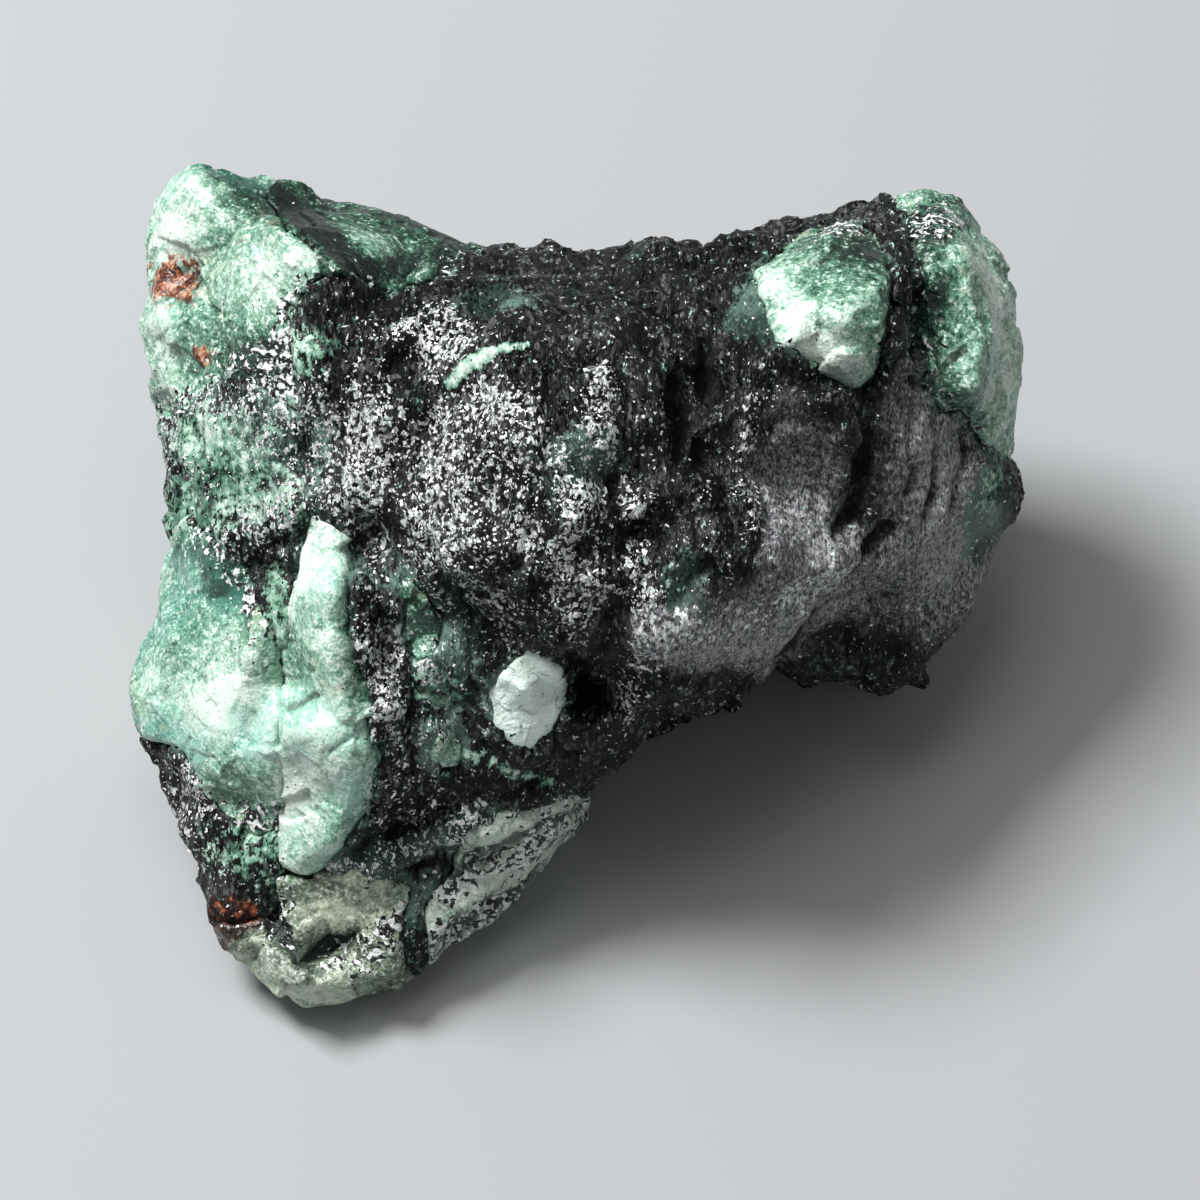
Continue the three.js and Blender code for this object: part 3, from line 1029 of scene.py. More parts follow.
@dataclass
class Crystal:
    """One beryl crystal or vein, grown into a socket of the schist.

    Its marks say where it is pale, where it is darker, by its own colour in some marks and by painted shade
    in others, where it is tinted, rusty or specked with mica, and lines are its ridges and cracks. It
    stands proud by a height over all of its solid, and relief scales how much it is broken.
    """

    node: str
    slot: Slot
    finish: BerylFinish
    pale: tuple[Mark | Line, ...] = ()
    deep_and_shaded: tuple[Mark | Line, ...] = ()
    tinted: tuple[Mark | Line, ...] = ()
    rust: tuple[Mark | Line, ...] = ()
    specks: tuple[Mark | Line, ...] = ()
    lines: tuple[Line, ...] = ()
    speckle: float = 0.9
    proud: float = 0.2
    budget: int = 75000
    finest: float = 0.13
    softness: float = 0.24
    relief: float = 1.0
    surface: Surface = field(init=False)
    values: dict[str, np.ndarray] = field(init=False)

    def shape(self, frame: dict) -> None:
        """Grows the crystal's surface from its solid: softened, swollen to meet the schist, then broken.

        Args:
            frame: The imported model.
        """
        surface = Surface.from_node(frame["nodes"][self.node], self.budget, self.finest)
        surface.soften(self.softness)
        points = surface.points
        front = surface.facing()
        marked = surface.marked

        # Broad swells and a fine grain, then facets in two sizes
        broken = 0.12 * fractal(points, 3.2, Salt.BERYL_SWELLS)
        broken += 0.018 * fractal(points, 0.5, Salt.BERYL_GRAIN)
        broken += chips(points, size=3.0, depth=0.08, slope=0.1, salt=Salt.BERYL_CHIPS)
        broken += chips(points, size=1.3, depth=0.03, slope=0.09, salt=Salt.BERYL_NICKS)
        surface.raised(self.proud + self.relief * broken + front * carved(self.lines, marked))
        self.surface = surface

    def dress(self, schist: Nearness) -> None:
        """Works out what the finish reads at each point.

        Args:
            schist: How near a place is to the schist.
        """
        surface = self.surface
        view = surface.marked
        front = surface.facing()
        bent = surface.points + BENT_SHARE * (view - surface.view)

        def spread(marks: tuple[Mark | Line, ...]) -> np.ndarray:
            """All of a kind of mark together, on the side that faces the view."""
            return front * np.minimum(gathered(marks, view), 1)

        beside = surface.averaged(schist.at(surface.points), 4)
        patchy = ramp(fractal(surface.points, 2.2, Salt.BERYL_MICA), -0.5, 0.5)
        mica = self.speckle * beside * (0.15 + 0.7 * patchy) + spread(self.specks)
        cracks = gathered((line for line in self.lines if line.height < 0), view)
        self.values = {
            # The darker marks are partly the crystal's own darker colour and partly painted shade
            "pale": 0.42 * spread(self.pale) - 0.45 * spread(self.deep_and_shaded),
            "rust": spread(self.rust),
            "mica": np.clip(mica, 0, 1),
            "hollow": surface.averaged(surface.hollows(0.5), 1) + 0.3 * front * cracks,
            "clouds": fractal(bent, 2.8, Salt.BERYL_CLOUDS, 4),
            "zone": ramp(fractal(bent, 3.6, Salt.BERYL_ZONES), -0.1, 0.3) + spread(self.tinted),
            "warm": ramp(fractal(bent, 3.0, Salt.BERYL_WARMTH), 0.1, 0.45),
        }

    def build(self) -> bpy.types.Object:
        """Makes the crystal's object, which stands for its solid.

        Returns:
            The object.
        """
        net = self.surface
        name = f"{self.node}_crystal"
        made = mesh_object(name, net.points, net.faces, self.finish.material(), self.values)
        return settle(made, self.node)


def settle(piece: bpy.types.Object, node: str | None = None) -> bpy.types.Object:
    """Gives a piece its body and the solid that it stands for.

    Args:
        piece: The finished piece.
        node: The solid, if it stands for one.

    Returns:
        The piece.
    """
    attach(piece, "root")
    if node:
        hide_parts(node)
    LOG.info("%s: %d faces", piece.name, len(piece.data.polygons))
    return piece


@dataclass
class SchistMatrix:
    """The dark mica schist that holds the crystals.

    Its marks say where it has split to a satin, which is painted with a sheen (satin), where mica sparkles,
    in painted glints and in bright flakes, and where it keeps still (sparkle, still), where it is tinged
    green or bares beryl or rust (green, beryl, rust), and where the surface is cut or raised (grooves,
    veins, rims). It swells all over, and by meeting beside a crystal.
    """

    node: str = "schist_matrix"
    finish: SchistFinish = SchistFinish()
    budget: int = 92000
    finest: float = 0.2
    softness: float = 0.4
    swell: float = 0.08
    meeting: float = 0.34
    satin: tuple[Mark | Line, ...] = (
        Mark(107, 48, 24, 46),
        Line(((42, -24), (92, -18), (133, 4)), 20),
        Line(((50, -30), (96, -26)), 10),
        Line(((137, 12), (125, -9), (108, -24), (92, -42)), 4),
        Line(((170, 92), (176, 50), (190, 10)), 18),
        Mark(178, 20, 30, 60),
    )
    sparkle: tuple[Mark | Line, ...] = (
        Mark(-67, 122, 15, 15),
        Mark(-40, 72, 28, 24),
        Mark(-85, 40, 22, 60),
        Mark(-150, 60, 50, 34),
        Mark(-150, 66, 44, 30),
        Mark(-15, 8, 46, 34),
        Mark(-82, -60, 20, 50),
        Mark(-190, -105, 14, 34),
        Line(((28, 4), (34, -22), (28, -54)), 9),
        Line(((48, -22), (92, -14), (130, 4)), 9),
        Line(((-136, -147), (-88, -130), (-46, -110)), 7),
        Mark(-34, 56, 40, 30),
        Line(((8, 104), (12, 82), (10, 62)), 6),
        Line(((18, 44), (24, 22)), 9),
        Line(((84, 88), (83, 50), (86, 22)), 4),
    )
    green: tuple[Mark | Line, ...] = (
        Mark(-160, 62, 40, 34),
        Mark(4, 62, 26, 14),
        Mark(52, 2, 12, 16),
        Mark(-40, 136, 22, 10),
        Mark(-60, -30, 20, 40),
        Mark(86, 128, 14, 16),
        Line(((-138, -148), (-90, -132), (-46, -114)), 12),
        Line(((205, 90), (206, 60), (196, 20)), 9),
    )
    beryl: tuple[Mark | Line, ...] = (
        Mark(-190, 30, 16, 26),
        Mark(-158, 46, 30, 20),
        Mark(-178, 74, 26, 14),
        Mark(-128, 114, 12, 14),
        Mark(-162, -132, 18, 12),
        Line(((-60, -80), (-38, -87), (-14, -95)), 3.5),
        Mark(-65, -51, 14, 12),
        Line(((-142, 6), (-137, -24), (-135, -44)), 6),
        Line(((208, 92), (208, 62), (203, 40)), 4),
    )
    rust: tuple[Mark | Line, ...] = (Mark(-166, -160, 17, 8),)
    grooves: tuple[Line, ...] = (
        Line(((52, 96), (56, 78), (54, 62)), 7, -1.1),
        Line(((64, 112), (66, 88), (65, 60)), 4, -0.8),
        Line(((134, 100), (141, 82), (144, 62), (139, 42), (128, 26)), 6, -0.85),
        Line(((154, 27), (135, 3), (99, -37)), 4, -0.8),
        Line(((165, 88), (166, 60), (160, 34)), 2.5, -0.4),
        Line(((179, 88), (178, 58), (172, 32)), 2.5, -0.45),
        Line(((190, 86), (191, 60), (186, 36)), 2.5, -0.4),
        Line(((168, 184), (166, 150), (169, 100)), 4, -0.7),
        Line(((1, -40), (4, -50), (1, -60)), 4.5, -0.7),
        Line(((-12, 92), (-6, 80), (-4, 74)), 7, -0.6),
        Line(((-140, -141), (-90, -122), (-46, -102)), 3, -0.4),
        Line(((-122, -156), (-80, -141), (-44, -122)), 3, -0.4),
        Line(((-128, 130), (-116, 100), (-112, 72)), 3.5, -0.4),
    )
    veins: tuple[Line, ...] = (
        Line(((-59, 95), (-51, 103), (-42, 108)), 3.0, 0.14),
        Line(((-44, 107), (-34, 111), (-24, 113)), 1.5, 0.12),
    )
    rims: tuple[Line, ...] = (
        Line(((137, 12), (125, -9), (108, -24), (92, -42)), 3, 0.3),
        Line(((82, 90), (80, 50), (84, 20)), 3, 0.35),
        Line(((10, 100), (13, 82), (10, 64)), 4, 0.3),
        Line(((-134, -149), (-86, -132), (-44, -112)), 2.6, 0.25),
        Line(((-112, 140), (-118, 128), (-121, 112)), 2.6, 0.3),
    )
    still: tuple[Mark | Line, ...] = (
        Line(((-104, 140), (-60, 148), (0, 146), (70, 150)), 13),
        Line(((150, 168), (168, 140), (166, 110)), 9),
        Line(((60, 110), (64, 84), (60, 60)), 8),
        Mark(150, -28, 46, 24),
        Mark(-14, 18, 16, 24),
        Line(((-87, 34), (-84, -10), (-82, -56)), 6),
        Line(((-10, 102), (-4, 78)), 7),
        Line(((-80, 112), (-74, 84)), 5),
        Line(((14, 46), (18, 0), (14, -40)), 5),
    )
    surface: Surface = field(init=False)
    values: dict[str, np.ndarray] = field(init=False)

    def shape(self, frame: dict, beryl: Nearness) -> None:
        """Breaks the schist's surface: chips, split leaves, creases, grooves, and smoother satin splits.

        Args:
            frame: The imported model.
            beryl: How near a place is to the crystals, which the schist rises to meet.
        """
        surface = Surface.from_node(frame["nodes"][self.node], self.budget, self.finest)
        surface.soften(self.softness)
        points = surface.points
        front = surface.facing()
        marked = surface.marked
        upright = streaked(points, longer=2.2)

        # Swells, the rise beside the crystals, then chips that satin splits have less of
        rough = 1 - 0.85 * np.minimum(self.smoothness(surface), 1)
        heights = self.swell + 0.34 * fractal(streaked(points, longer=1.8), 3.6, Salt.SCHIST_SWELLS)
        overlap = self.meeting * (1 + 0.6 * fractal(points, 1.6, Salt.SCHIST_MEETING))
        heights += overlap * surface.averaged(ramp(beryl.at(points), 0.4, 0.9), 5)
        broken = chips(upright, size=1.6, depth=0.1, slope=0.16, salt=Salt.SCHIST_CHIPS)
        broken += chips(upright, size=0.7, depth=0.05, slope=0.16, salt=Salt.SCHIST_NICKS)
        heights += rough * broken

        # Split leaves, thick and thin, the creases between them, and the marked grooves and ridges
        split = leaves(points, pitch=1.5, depth=0.24, wander=1.2, salt=Salt.SCHIST_LEAVES)
        heights += (0.35 + 0.65 * rough) * split
        heights += leaves(points, pitch=0.7, depth=0.07, wander=0.6, salt=Salt.SCHIST_THIN_LEAVES)
        creased = creases(streaked(points, longer=3.2), 3.4, Salt.SCHIST_CREASES)
        heights -= 0.4 * (0.3 + 0.7 * rough) * creased
        heights += front * carved((*self.grooves, *self.rims), marked)
        heights += front * carved(self.veins, surface.view)
        surface.raised(heights)
        self.surface = surface

    def smoothness(self, surface: Surface) -> np.ndarray:
        """Where the schist has split smooth: the satin marks, and patches of its own on the other sides."""
        front = surface.facing()
        patches = ramp(fractal(surface.points, 8.0, Salt.SATIN_PATCHES), 0.1, 0.5)
        return np.clip(front * gathered(self.satin, surface.marked) + (1 - front) * patches, 0, 1.5)

    def dress(self, beryl: Nearness) -> None:
        """Works out what the finish reads at each point.

        Args:
            beryl: How near a place is to the crystals.
        """
        surface = self.surface
        view = surface.marked
        front = surface.facing()
        beside = surface.averaged(beryl.at(surface.points), 3)
        patches = 0.5 + 0.5 * fractal(surface.points, 5.0, Salt.MICA_PATCHES)
        clusters = ramp(fractal(streaked(surface.points, 1.3), 2.0, Salt.MICA_CLUSTERS), -0.2, 0.3)
        tinges = ramp(fractal(surface.points, 3.0, Salt.GREEN_PATCHES), 0.1, 0.5)
        bares = 0.8 * ramp(fractal(surface.points, 4.0, Salt.BARED_BERYL), 0.35, 0.6)

        def spread(marks: tuple[Mark | Line, ...], elsewhere: np.ndarray | float) -> np.ndarray:
            """A kind of mark on the side that faces the view, and another pattern on the other sides."""
            return np.clip(front * gathered(marks, view) + (1 - front) * elsewhere, 0, 1)

        bared = spread(self.beryl, bares)
        ridges = gathered(self.veins, 0.5 * (view + surface.view))
        grooves = -carved(self.grooves, view)
        green = spread(self.green, 0.6 * patches) + 0.45 * tinges + 0.55 * ramp(beside, 0.45, 0.95)
        glinting = (0.03 + spread(self.sparkle, patches)) * (0.4 + 0.6 * clusters)
        self.values = {
            "patch": 0.34 * fractal(surface.points, 2.0, Salt.SCHIST_PATCHES),
            "sparkle": glinting - 0.4 * spread(self.still, 0.0),
            "satin": self.smoothness(surface),
            "green": np.clip(green, 0, 1),
            "beryl": np.clip(0.75 * bared + 1.9 * front * ridges + 0.3 * ramp(beside, 0.6, 1.0), 0, 1.6),
            "rust": spread(self.rust, 0.0),
            "hollow": surface.averaged(surface.hollows(0.55), 1) + 0.16 * front * grooves,
        }

    def build(self) -> bpy.types.Object:
        """Makes the schist's object, which stands for its solid.

        Returns:
            The object.
        """
        net = self.surface
        made = mesh_object("schist_rock", net.points, net.faces, self.finish.material(), self.values)
        return settle(made, self.node)


@dataclass
class MicaFlakes:
    """Loose-edged mica flakes that stand in the broken schist at all angles, as one mesh.

    Sizes, jitter and clearance are in millimetres, and thickness, sunk, long, short and reach are shares
    of a flake's size. Tilt is how far it leans, and stray is how far a corner wanders round it, in radians.
    A flake lies in the open where the nearness of rock, at its clearance, is less than open_below.
    """

    name: str
    finish: MicaFinish
    count: int
    smallest: float
    largest: float
    seed: int
    corners: int = 4
    thickness: float = 0.14
    tilt: float = 0.28
    sunk: float = 0.12
    long: float = 1.5
    short: float = 0.75
    reach: tuple[float, float] = (0.6, 1.15)
    stray: float = 0.4
    jitter: float = 0.1
    clearance: float = 1.1
    open_below: float = 0.3

    def build(self, grounds: list[tuple[Surface, np.ndarray]], solid: Nearness) -> bpy.types.Object:
        """Scatters the flakes over the parts of the ground that lie in the open.

        Args:
            grounds: Surfaces, each with how thickly flakes lie at its points.
            solid: How near a place is to any surface, to tell the open ground from the sockets.

        Returns:
            The flakes' object.
        """
        random = np.random.default_rng(self.seed)
        middles, normals, weights = (np.concatenate(part) for part in zip(*map(self.beds, grounds)))
        weights *= solid.at(middles + self.clearance * normals) < self.open_below
        chosen = random.choice(len(middles), self.count, p=weights / weights.sum())
        points = self.flakes(random, middles[chosen], normals[chosen])
        values = {"shine": np.repeat(random.random(self.count), self.corners + 2)}
        made = mesh_object(self.name, points, self.faces(), self.finish.material(), values, smooth=False)
        return settle(made)

    @staticmethod
    def beds(ground: tuple[Surface, np.ndarray]) -> tuple[np.ndarray, np.ndarray, np.ndarray]:
        """Where flakes may lie on a surface.

        Args:
            ground: The surface, and how thickly flakes lie at its points.

        Returns:
            The middle of each face, its normal, and twice its area times how thickly flakes lie there.
        """
        surface, density = ground
        crossed = surface.crossed()
        size = np.linalg.norm(crossed, axis=1, keepdims=True) + TINY
        middles = surface.points[surface.faces].mean(axis=1)
        return middles, crossed / size, size[:, 0] * density[surface.faces].mean(axis=1)

    def flakes(self, random: np.random.Generator, ground: np.ndarray, normals: np.ndarray) -> np.ndarray:
        """Works out the points of every flake: a ring of corners, one point above and one below.

        Args:
            random: Where the chance comes from.
            ground: The place on the ground of each flake.
            normals: The way that the ground faces there.

        Returns:
            Rows of x, y and z, flake by flake.
        """
        axis = unit(normals + self.tilt * unit(random.normal(size=(self.count, 3))))
        side = unit(np.cross(axis, random.normal(size=(self.count, 3))))
        other = np.cross(axis, side)
        share = random.random(self.count) ** 2
        radius = (self.smallest + (self.largest - self.smallest) * share)[:, None]
        aside = random.uniform(-self.jitter, self.jitter, (self.count, 3))
        aside -= (aside * normals).sum(axis=1, keepdims=True) * normals
        middle = ground + aside - self.sunk * radius * normals
        middle[:, 2] = np.maximum(middle[:, 2], self.largest)
        ring = []
        for corner in range(self.corners):
            stray = random.uniform(-self.stray, self.stray, (self.count, 1))
            angle = 2 * math.pi * corner / self.corners + stray
            reach = radius * random.uniform(*self.reach, (self.count, 1))
            way = self.long * np.cos(angle) * side + self.short * np.sin(angle) * other
            ring.append(middle + reach * way)
        rise = self.thickness * radius * axis
        return np.stack([*ring, middle + rise, middle - rise], axis=1).reshape(-1, 3)

    def faces(self) -> np.ndarray:
        """Each corner, the next one, and the point above or below them, for every flake."""
        top, bottom = self.corners, self.corners + 1
        pattern = []
        for corner in range(self.corners):
            after = (corner + 1) % self.corners
            pattern += [(corner, after, top), (after, corner, bottom)]
        first = np.arange(self.count)[:, None, None] * (self.corners + 2)
        return (first + np.array(pattern)).reshape(-1, 3)


@dataclass(frozen=True)
class Lamp:
    """A square lamp that faces the stone: its place and side in metres, and its power in watts."""

    name: str
    place: tuple[float, float, float]
    side: float
    power: float


@dataclass
class Studio:
    """A pale floor, plain soft light from the left, and the camera, in metres."""

    floor_side: float = 3.0
    floor_shade: Colour = colour(157, 159, 161)
    floor_cloud: Colour = colour(154, 156, 158)
    lamps: tuple[Lamp, ...] = (
        Lamp("key", (-0.24, 0.12, 0.48), side=0.17, power=4.6),
        Lamp("sky", (-0.05, 0.02, 0.60), side=0.26, power=0.8),
    )
    room: float = 0.24
    lens: float = 200.0
    sensor: float = 36.0
    frame_width: float = 0.0595
    target: tuple[float, float, float] = (0.0012, -0.0008, 0.0108)

    def build(self) -> None:
        """Makes the floor, the lights and the camera."""
        self.floor()
        self.world()
        for lamp in self.lamps:
            self.light(lamp)
        self.camera()

    def floor(self) -> None:
        """A matt pale sheet that the stone lies on."""
        bpy.ops.mesh.primitive_plane_add(size=self.floor_side)
        sheet = bpy.context.object
        sheet.name = "floor"
        paint = Paint("pale floor")
        cloud = paint.noise(paint.place(), 60.0, 2)
        shade = paint.mix(cloud * 0.2, self.floor_shade, self.floor_cloud)
        sheet.data.materials.append(paint.finish({"Base Color": shade, "Roughness": 0.7}))

    def world(self) -> None:
        """Plain white light from all round."""
        world = bpy.data.worlds.new("room")
        world.use_nodes = True
        backdrop = world.node_tree.nodes["Background"]
        backdrop.inputs["Color"].default_value = (1, 1, 1, 1)
        backdrop.inputs["Strength"].default_value = self.room
        bpy.context.scene.world = world

    def light(self, lamp: Lamp) -> None:
        """Hangs a lamp and turns it to the stone.

        Args:
            lamp: The lamp.
        """
        source = bpy.data.lights.new(lamp.name, "AREA")
        source.size = lamp.side
        source.energy = lamp.power
        hung = bpy.data.objects.new(lamp.name, source)
        hung.location = lamp.place
        away = Vector(lamp.place) - Vector(self.target)
        hung.rotation_euler = away.to_track_quat("Z", "Y").to_euler()
        bpy.context.scene.collection.objects.link(hung)

    def camera(self) -> None:
        """A long lens that looks down on the stone from the side that shows it best."""
        lens = bpy.data.cameras.new("camera")
        lens.lens = self.lens
        lens.sensor_width = self.sensor
        lens.clip_start = 0.01
        eye = bpy.data.objects.new("camera", lens)
        distance = self.frame_width * self.lens / self.sensor
        away = Vector((0, -math.cos(VIEW_ELEVATION), math.sin(VIEW_ELEVATION)))
        eye.location = Vector(self.target) + distance * away
        eye.rotation_euler = (math.pi / 2 - VIEW_ELEVATION, 0, 0)
        bpy.context.scene.collection.objects.link(eye)
        bpy.context.scene.camera = eye
        bpy.context.scene.view_settings.view_transform = "Standard"


@dataclass
class EmeraldInMatrix:
    """The whole stone: the schist, its crystals and its mica flakes."""

    frame: dict
    matrix: SchistMatrix = field(default_factory=SchistMatrix)
    crystals: tuple[Crystal, ...] = field(default_factory=tuple)

    def build(self) -> None:
        """Shapes every surface, then dresses each with what lies beside it."""
        for crystal in self.crystals:
            crystal.shape(self.frame)
        grown = np.concatenate([crystal.surface.points for crystal in self.crystals])
        beryl = Nearness().fill(grown)
        self.matrix.shape(self.frame, beryl)
        schist = Nearness().fill(self.matrix.surface.points)
        self.matrix.dress(beryl)
        self.matrix.build()
        for crystal in self.crystals:
            crystal.dress(schist)
            crystal.build()
        self.scatter()

    def scatter(self) -> None:
        """Scatters bright and dark mica flakes over the schist, and over the edges of the crystals."""
        surfaces = [self.matrix.surface, *(crystal.surface for crystal in self.crystals)]
        grown = np.concatenate([surface.points for surface in surfaces])
        solid = Nearness(decay=0.6, reach=2).fill(grown)
        values = self.matrix.values

        # Dark flakes keep off satin and bared beryl, and bright ones gather where it sparkles
        bare = (1 - 0.85 * np.minimum(values["satin"], 1)) * (1 - 0.4 * np.minimum(values["beryl"], 1))
        lit = bare * np.maximum(0.01 + values["sparkle"], 0.002) * ramp(0.14 - values["hollow"], 0.0, 0.1)
        lit *= 0.4 + 0.6 * self.matrix.surface.facing()

        # A few lie on the crystals, where their finish has most mica
        bright = [(self.matrix.surface, lit)]
        dark = [(self.matrix.surface, bare)]
        for crystal in self.crystals:
            mica = ramp(crystal.values["mica"], 0.55, 1.0)
            bright.append((crystal.surface, 0.3 * mica))
            dark.append((crystal.surface, 0.5 * mica))
        BRIGHT_FLAKES.build(bright, solid)
        SMALL_FLAKES.build(bright, solid)
        DARK_FLAKES.build(dark, solid)


SILVER_MICA = MicaFinish(
    "silver mica",
    dull=colour(150, 152, 155),
    bright=colour(252, 253, 253),
    metal=0.05,
    roughness=0.4,
    ior=1.6,
)
BLACK_MICA = MicaFinish(
    "black mica",
    dull=colour(4, 4, 5),
    bright=colour(20, 20, 23),
    metal=0.0,
    roughness=0.5,
    ior=1.25,
)
BRIGHT_FLAKES = MicaFlakes("mica_flakes_bright", SILVER_MICA, 15000, smallest=0.07, largest=0.18, seed=5)
SMALL_FLAKES = MicaFlakes("mica_flakes_small", SILVER_MICA, 12000, smallest=0.05, largest=0.09, seed=6)
DARK_FLAKES = MicaFlakes("mica_flakes_dark", BLACK_MICA, 14000, smallest=0.06, largest=0.15, seed=7)

HORN = Crystal(
    "emerald_horn",
    Slot.BERYL,
    BerylFinish("horn beryl", tone=0.57, cloud=0.36),
    pale=(Mark(-190, 176, 16, 24), Mark(-201, 120, 8, 40), Mark(-122, 157, 12, 6), Mark(-150, 150, 22, 16)),
    deep_and_shaded=(
        # Painted shade on the side of the crest that falls away from the light; the mark after it darkens
        # the colour lower down
        Line(((-180, 205), (-155, 187), (-133, 169), (-108, 152)), 8),
        Mark(-156, 110, 24, 16),
    ),
    rust=(Mark(-195, 148, 12, 13), Mark(-179, 112, 6, 9)),
    specks=(Mark(-116, 130, 22, 20), Mark(-146, 104, 24, 16), Mark(-176, 86, 36, 11)),
)
BACK = Crystal(
    "emerald_back",
    Slot.DARK_BERYL,
    # A dark green crystal, with its tone set low to paint in the shade behind the horn's crest
    BerylFinish("back beryl", tone=0.12, cloud=0.4, tint_share=0.0, roughness=0.44, warmth=0.0, shine=0.3),
    pale=(Mark(-97, 163, 14, 7),),
    # Painted shade along the horn's crest
    deep_and_shaded=(Line(((-150, 195), (-130, 172), (-104, 150)), 5),),
    relief=0.5,
    speckle=1.0,
    softness=0.12,
)
LOBE = Crystal(
    "emerald_lobe",
    Slot.BERYL,
    BerylFinish(
        "lobe beryl",
        tone=0.58,
        cloud=0.42,
        tint=colour(140, 194, 178),
        deep_tint=colour(76, 138, 122),
        tint_share=0.6,
    ),
    pale=(Mark(-176, -62, 30, 22), Mark(-146, -74, 12, 14)),
    deep_and_shaded=(Mark(-172, 14, 20, 8), Mark(-202, -76, 8, 10), Mark(-168, -4, 14, 6)),
    tinted=(Mark(-192, -4, 16, 26), Mark(-190, -80, 24, 14)),
    rust=(Mark(-146, -14, 6, 8),),
    specks=(Mark(-160, 26, 26, 14), Mark(-148, -2, 14, 16), Mark(-152, -114, 16, 10)),
)
RIB = Crystal(
    "emerald_rib",
    Slot.BERYL,
    BerylFinish(
        "rib beryl",
        tone=0.68,
        cloud=0.46,
        tint=colour(156, 204, 186),
        deep_tint=colour(88, 142, 124),
        tint_share=0.5,
    ),
    pale=(
        Line(((-130, 14), (-138, -10), (-144, -40)), 6),
        Mark(-140, -112, 12, 22),
        Mark(-128, -80, 12, 20),
    ),
    # Painted shade down the rib's right side, which faces away from the light
    deep_and_shaded=(Line(((-110, 30), (-106, -10), (-102, -50)), 8),),
    tinted=(Mark(-116, -64, 18, 16), Mark(-110, -104, 12, 16)),
    lines=(
        Line(((-112, 22), (-112, -6)), 9, 0.2),
        Line(((-140, -29), (-129, -28)), 1.3, -0.08),
        Line(((-144, -60), (-133, -58), (-121, -55)), 1.7, -0.14),
        Line(((-119, -79), (-106, -73)), 1.5, -0.1),
    ),
    specks=(Mark(-130, 37, 9, 8),),
    speckle=0.8,
    softness=0.4,
    proud=0.24,
    relief=0.85,
)
FOOT = Crystal(
    "emerald_foot",
    Slot.BERYL,
    BerylFinish(
        "foot beryl",
        tone=0.4,
        cloud=0.5,
        tint=colour(182, 190, 166),
        deep_tint=colour(66, 78, 66),
        tint_share=0.8,
        stain_tone=-0.26,
    ),
    tinted=(Mark(-130, -175, 90, 60),),
    pale=(Mark(-128, -160, 22, 7), Line(((-166, -186), (-146, -198), (-120, -200)), 6)),
    # Painted shade in the groove of the V
    deep_and_shaded=(Line(((-148, -156), (-136, -184), (-108, -171)), 5),),
    rust=(Mark(-166, -162, 18, 9), Mark(-178, -172, 8, 5)),
    specks=(Line(((-146, -150), (-142, -172)), 6), Line(((-110, -184), (-80, -168)), 12)),
    lines=(
        Line(((-148, -156), (-136, -184), (-108, -171)), 3.5, -0.6),
        Line(((-166, -176), (-146, -196), (-110, -196)), 4, 0.25),
    ),
)
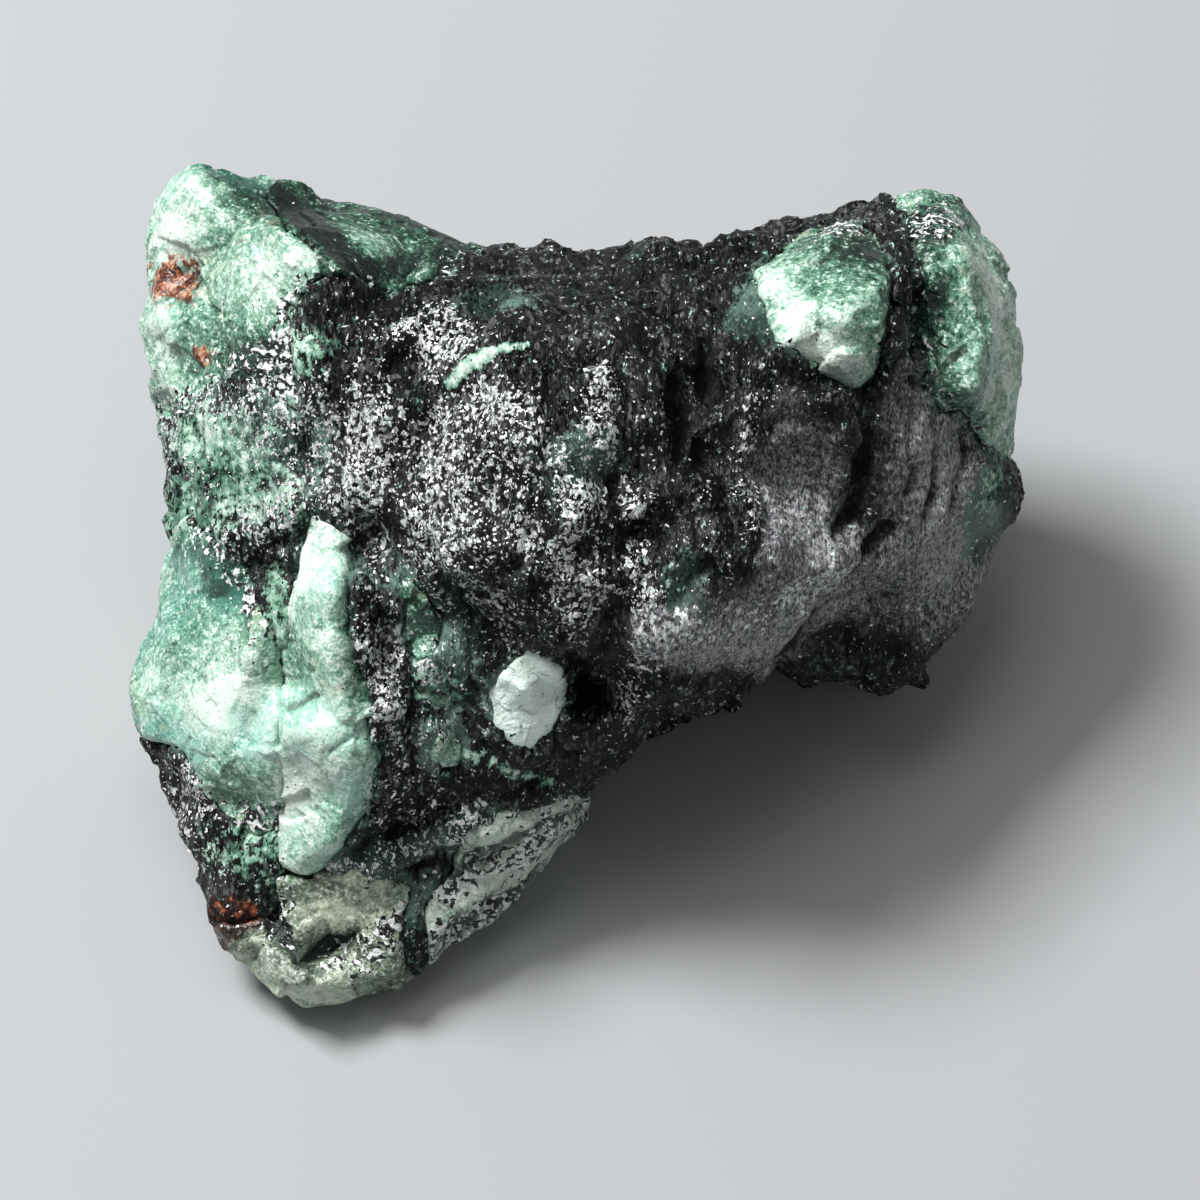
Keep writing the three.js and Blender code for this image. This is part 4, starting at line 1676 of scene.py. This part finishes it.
LEDGE = Crystal(
    "emerald_ledge",
    Slot.BERYL,
    BerylFinish(
        "ledge beryl",
        tone=0.76,
        cloud=0.5,
        tint=colour(196, 208, 194),
        deep_tint=colour(44, 58, 50),
        tint_share=0.75,
    ),
    tinted=(Mark(-28, -135, 80, 60),),
    pale=(Mark(-28, -132, 16, 8),),
    # Painted shade along the ledge's two grooves
    deep_and_shaded=(
        Line(((-62, -142), (-30, -126), (2, -108)), 4),
        Line(((-60, -166), (-30, -150), (0, -130)), 5),
    ),
    specks=(Line(((-62, -150), (-34, -136), (0, -116)), 7), Line(((-66, -172), (-34, -154)), 6)),
    lines=(
        Line(((-62, -142), (-30, -126), (2, -108)), 3, -0.4),
        Line(((-60, -166), (-30, -150), (0, -130)), 3, -0.4),
    ),
)
POCKET = Crystal(
    "emerald_pocket",
    Slot.PALE_BERYL,
    BerylFinish(
        "pocket beryl",
        tone=1.0,
        cloud=0.4,
        tint=colour(226, 246, 236),
        deep_tint=colour(140, 180, 160),
        tint_share=1.0,
    ),
    tinted=(Mark(-18, -56, 60, 60),),
    lines=(Line(((-32, -72), (-10, -46)), 14, 0.16),),
    relief=0.7,
    speckle=0.5,
    proud=0.14,
    finest=0.08,
    softness=0.12,
)
SLIVER = Crystal(
    "emerald_sliver",
    Slot.DARK_BERYL,
    BerylFinish("sliver beryl", tone=0.34, tint_share=0.1),
    speckle=1.0,
    proud=0.06,
    finest=0.08,
    softness=0.2,
)
BEAD = Crystal(
    "emerald_bead",
    Slot.BERYL,
    BerylFinish("bead beryl", tone=0.46, tint_share=0.1),
    speckle=1.0,
    proud=0.08,
    finest=0.08,
    softness=0.16,
)
KNOB = Crystal(
    "emerald_knob",
    Slot.BERYL,
    BerylFinish("knob beryl", tone=0.46, cloud=0.4, tint_share=0.1),
    pale=(Line(((93, 145), (108, 124), (126, 100)), 10), Mark(120, 106, 16, 12)),
    deep_and_shaded=(Mark(140, 160, 20, 12), Mark(86, 124, 10, 12)),
    specks=(Mark(126, 174, 26, 7),),
    speckle=0.5,
)
EDGE = Crystal(
    "emerald_edge",
    Slot.BERYL,
    BerylFinish("edge beryl", tone=0.44, tint_share=0.1),
    pale=(Line(((196, 170), (208, 136), (210, 96)), 7),),
    deep_and_shaded=(Mark(172, 140, 9, 40),),
    specks=(Mark(178, 176, 14, 10),),
)
CRYSTALS = (HORN, BACK, LOBE, RIB, FOOT, LEDGE, POCKET, SLIVER, BEAD, KNOB, EDGE)


def main() -> None:
    """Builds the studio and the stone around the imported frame."""
    logging.basicConfig(level=logging.INFO, format="%(name)s: %(message)s")
    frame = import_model()
    Studio().build()
    EmeraldInMatrix(frame, crystals=CRYSTALS).build()


if __name__ == "__main__":
    main()
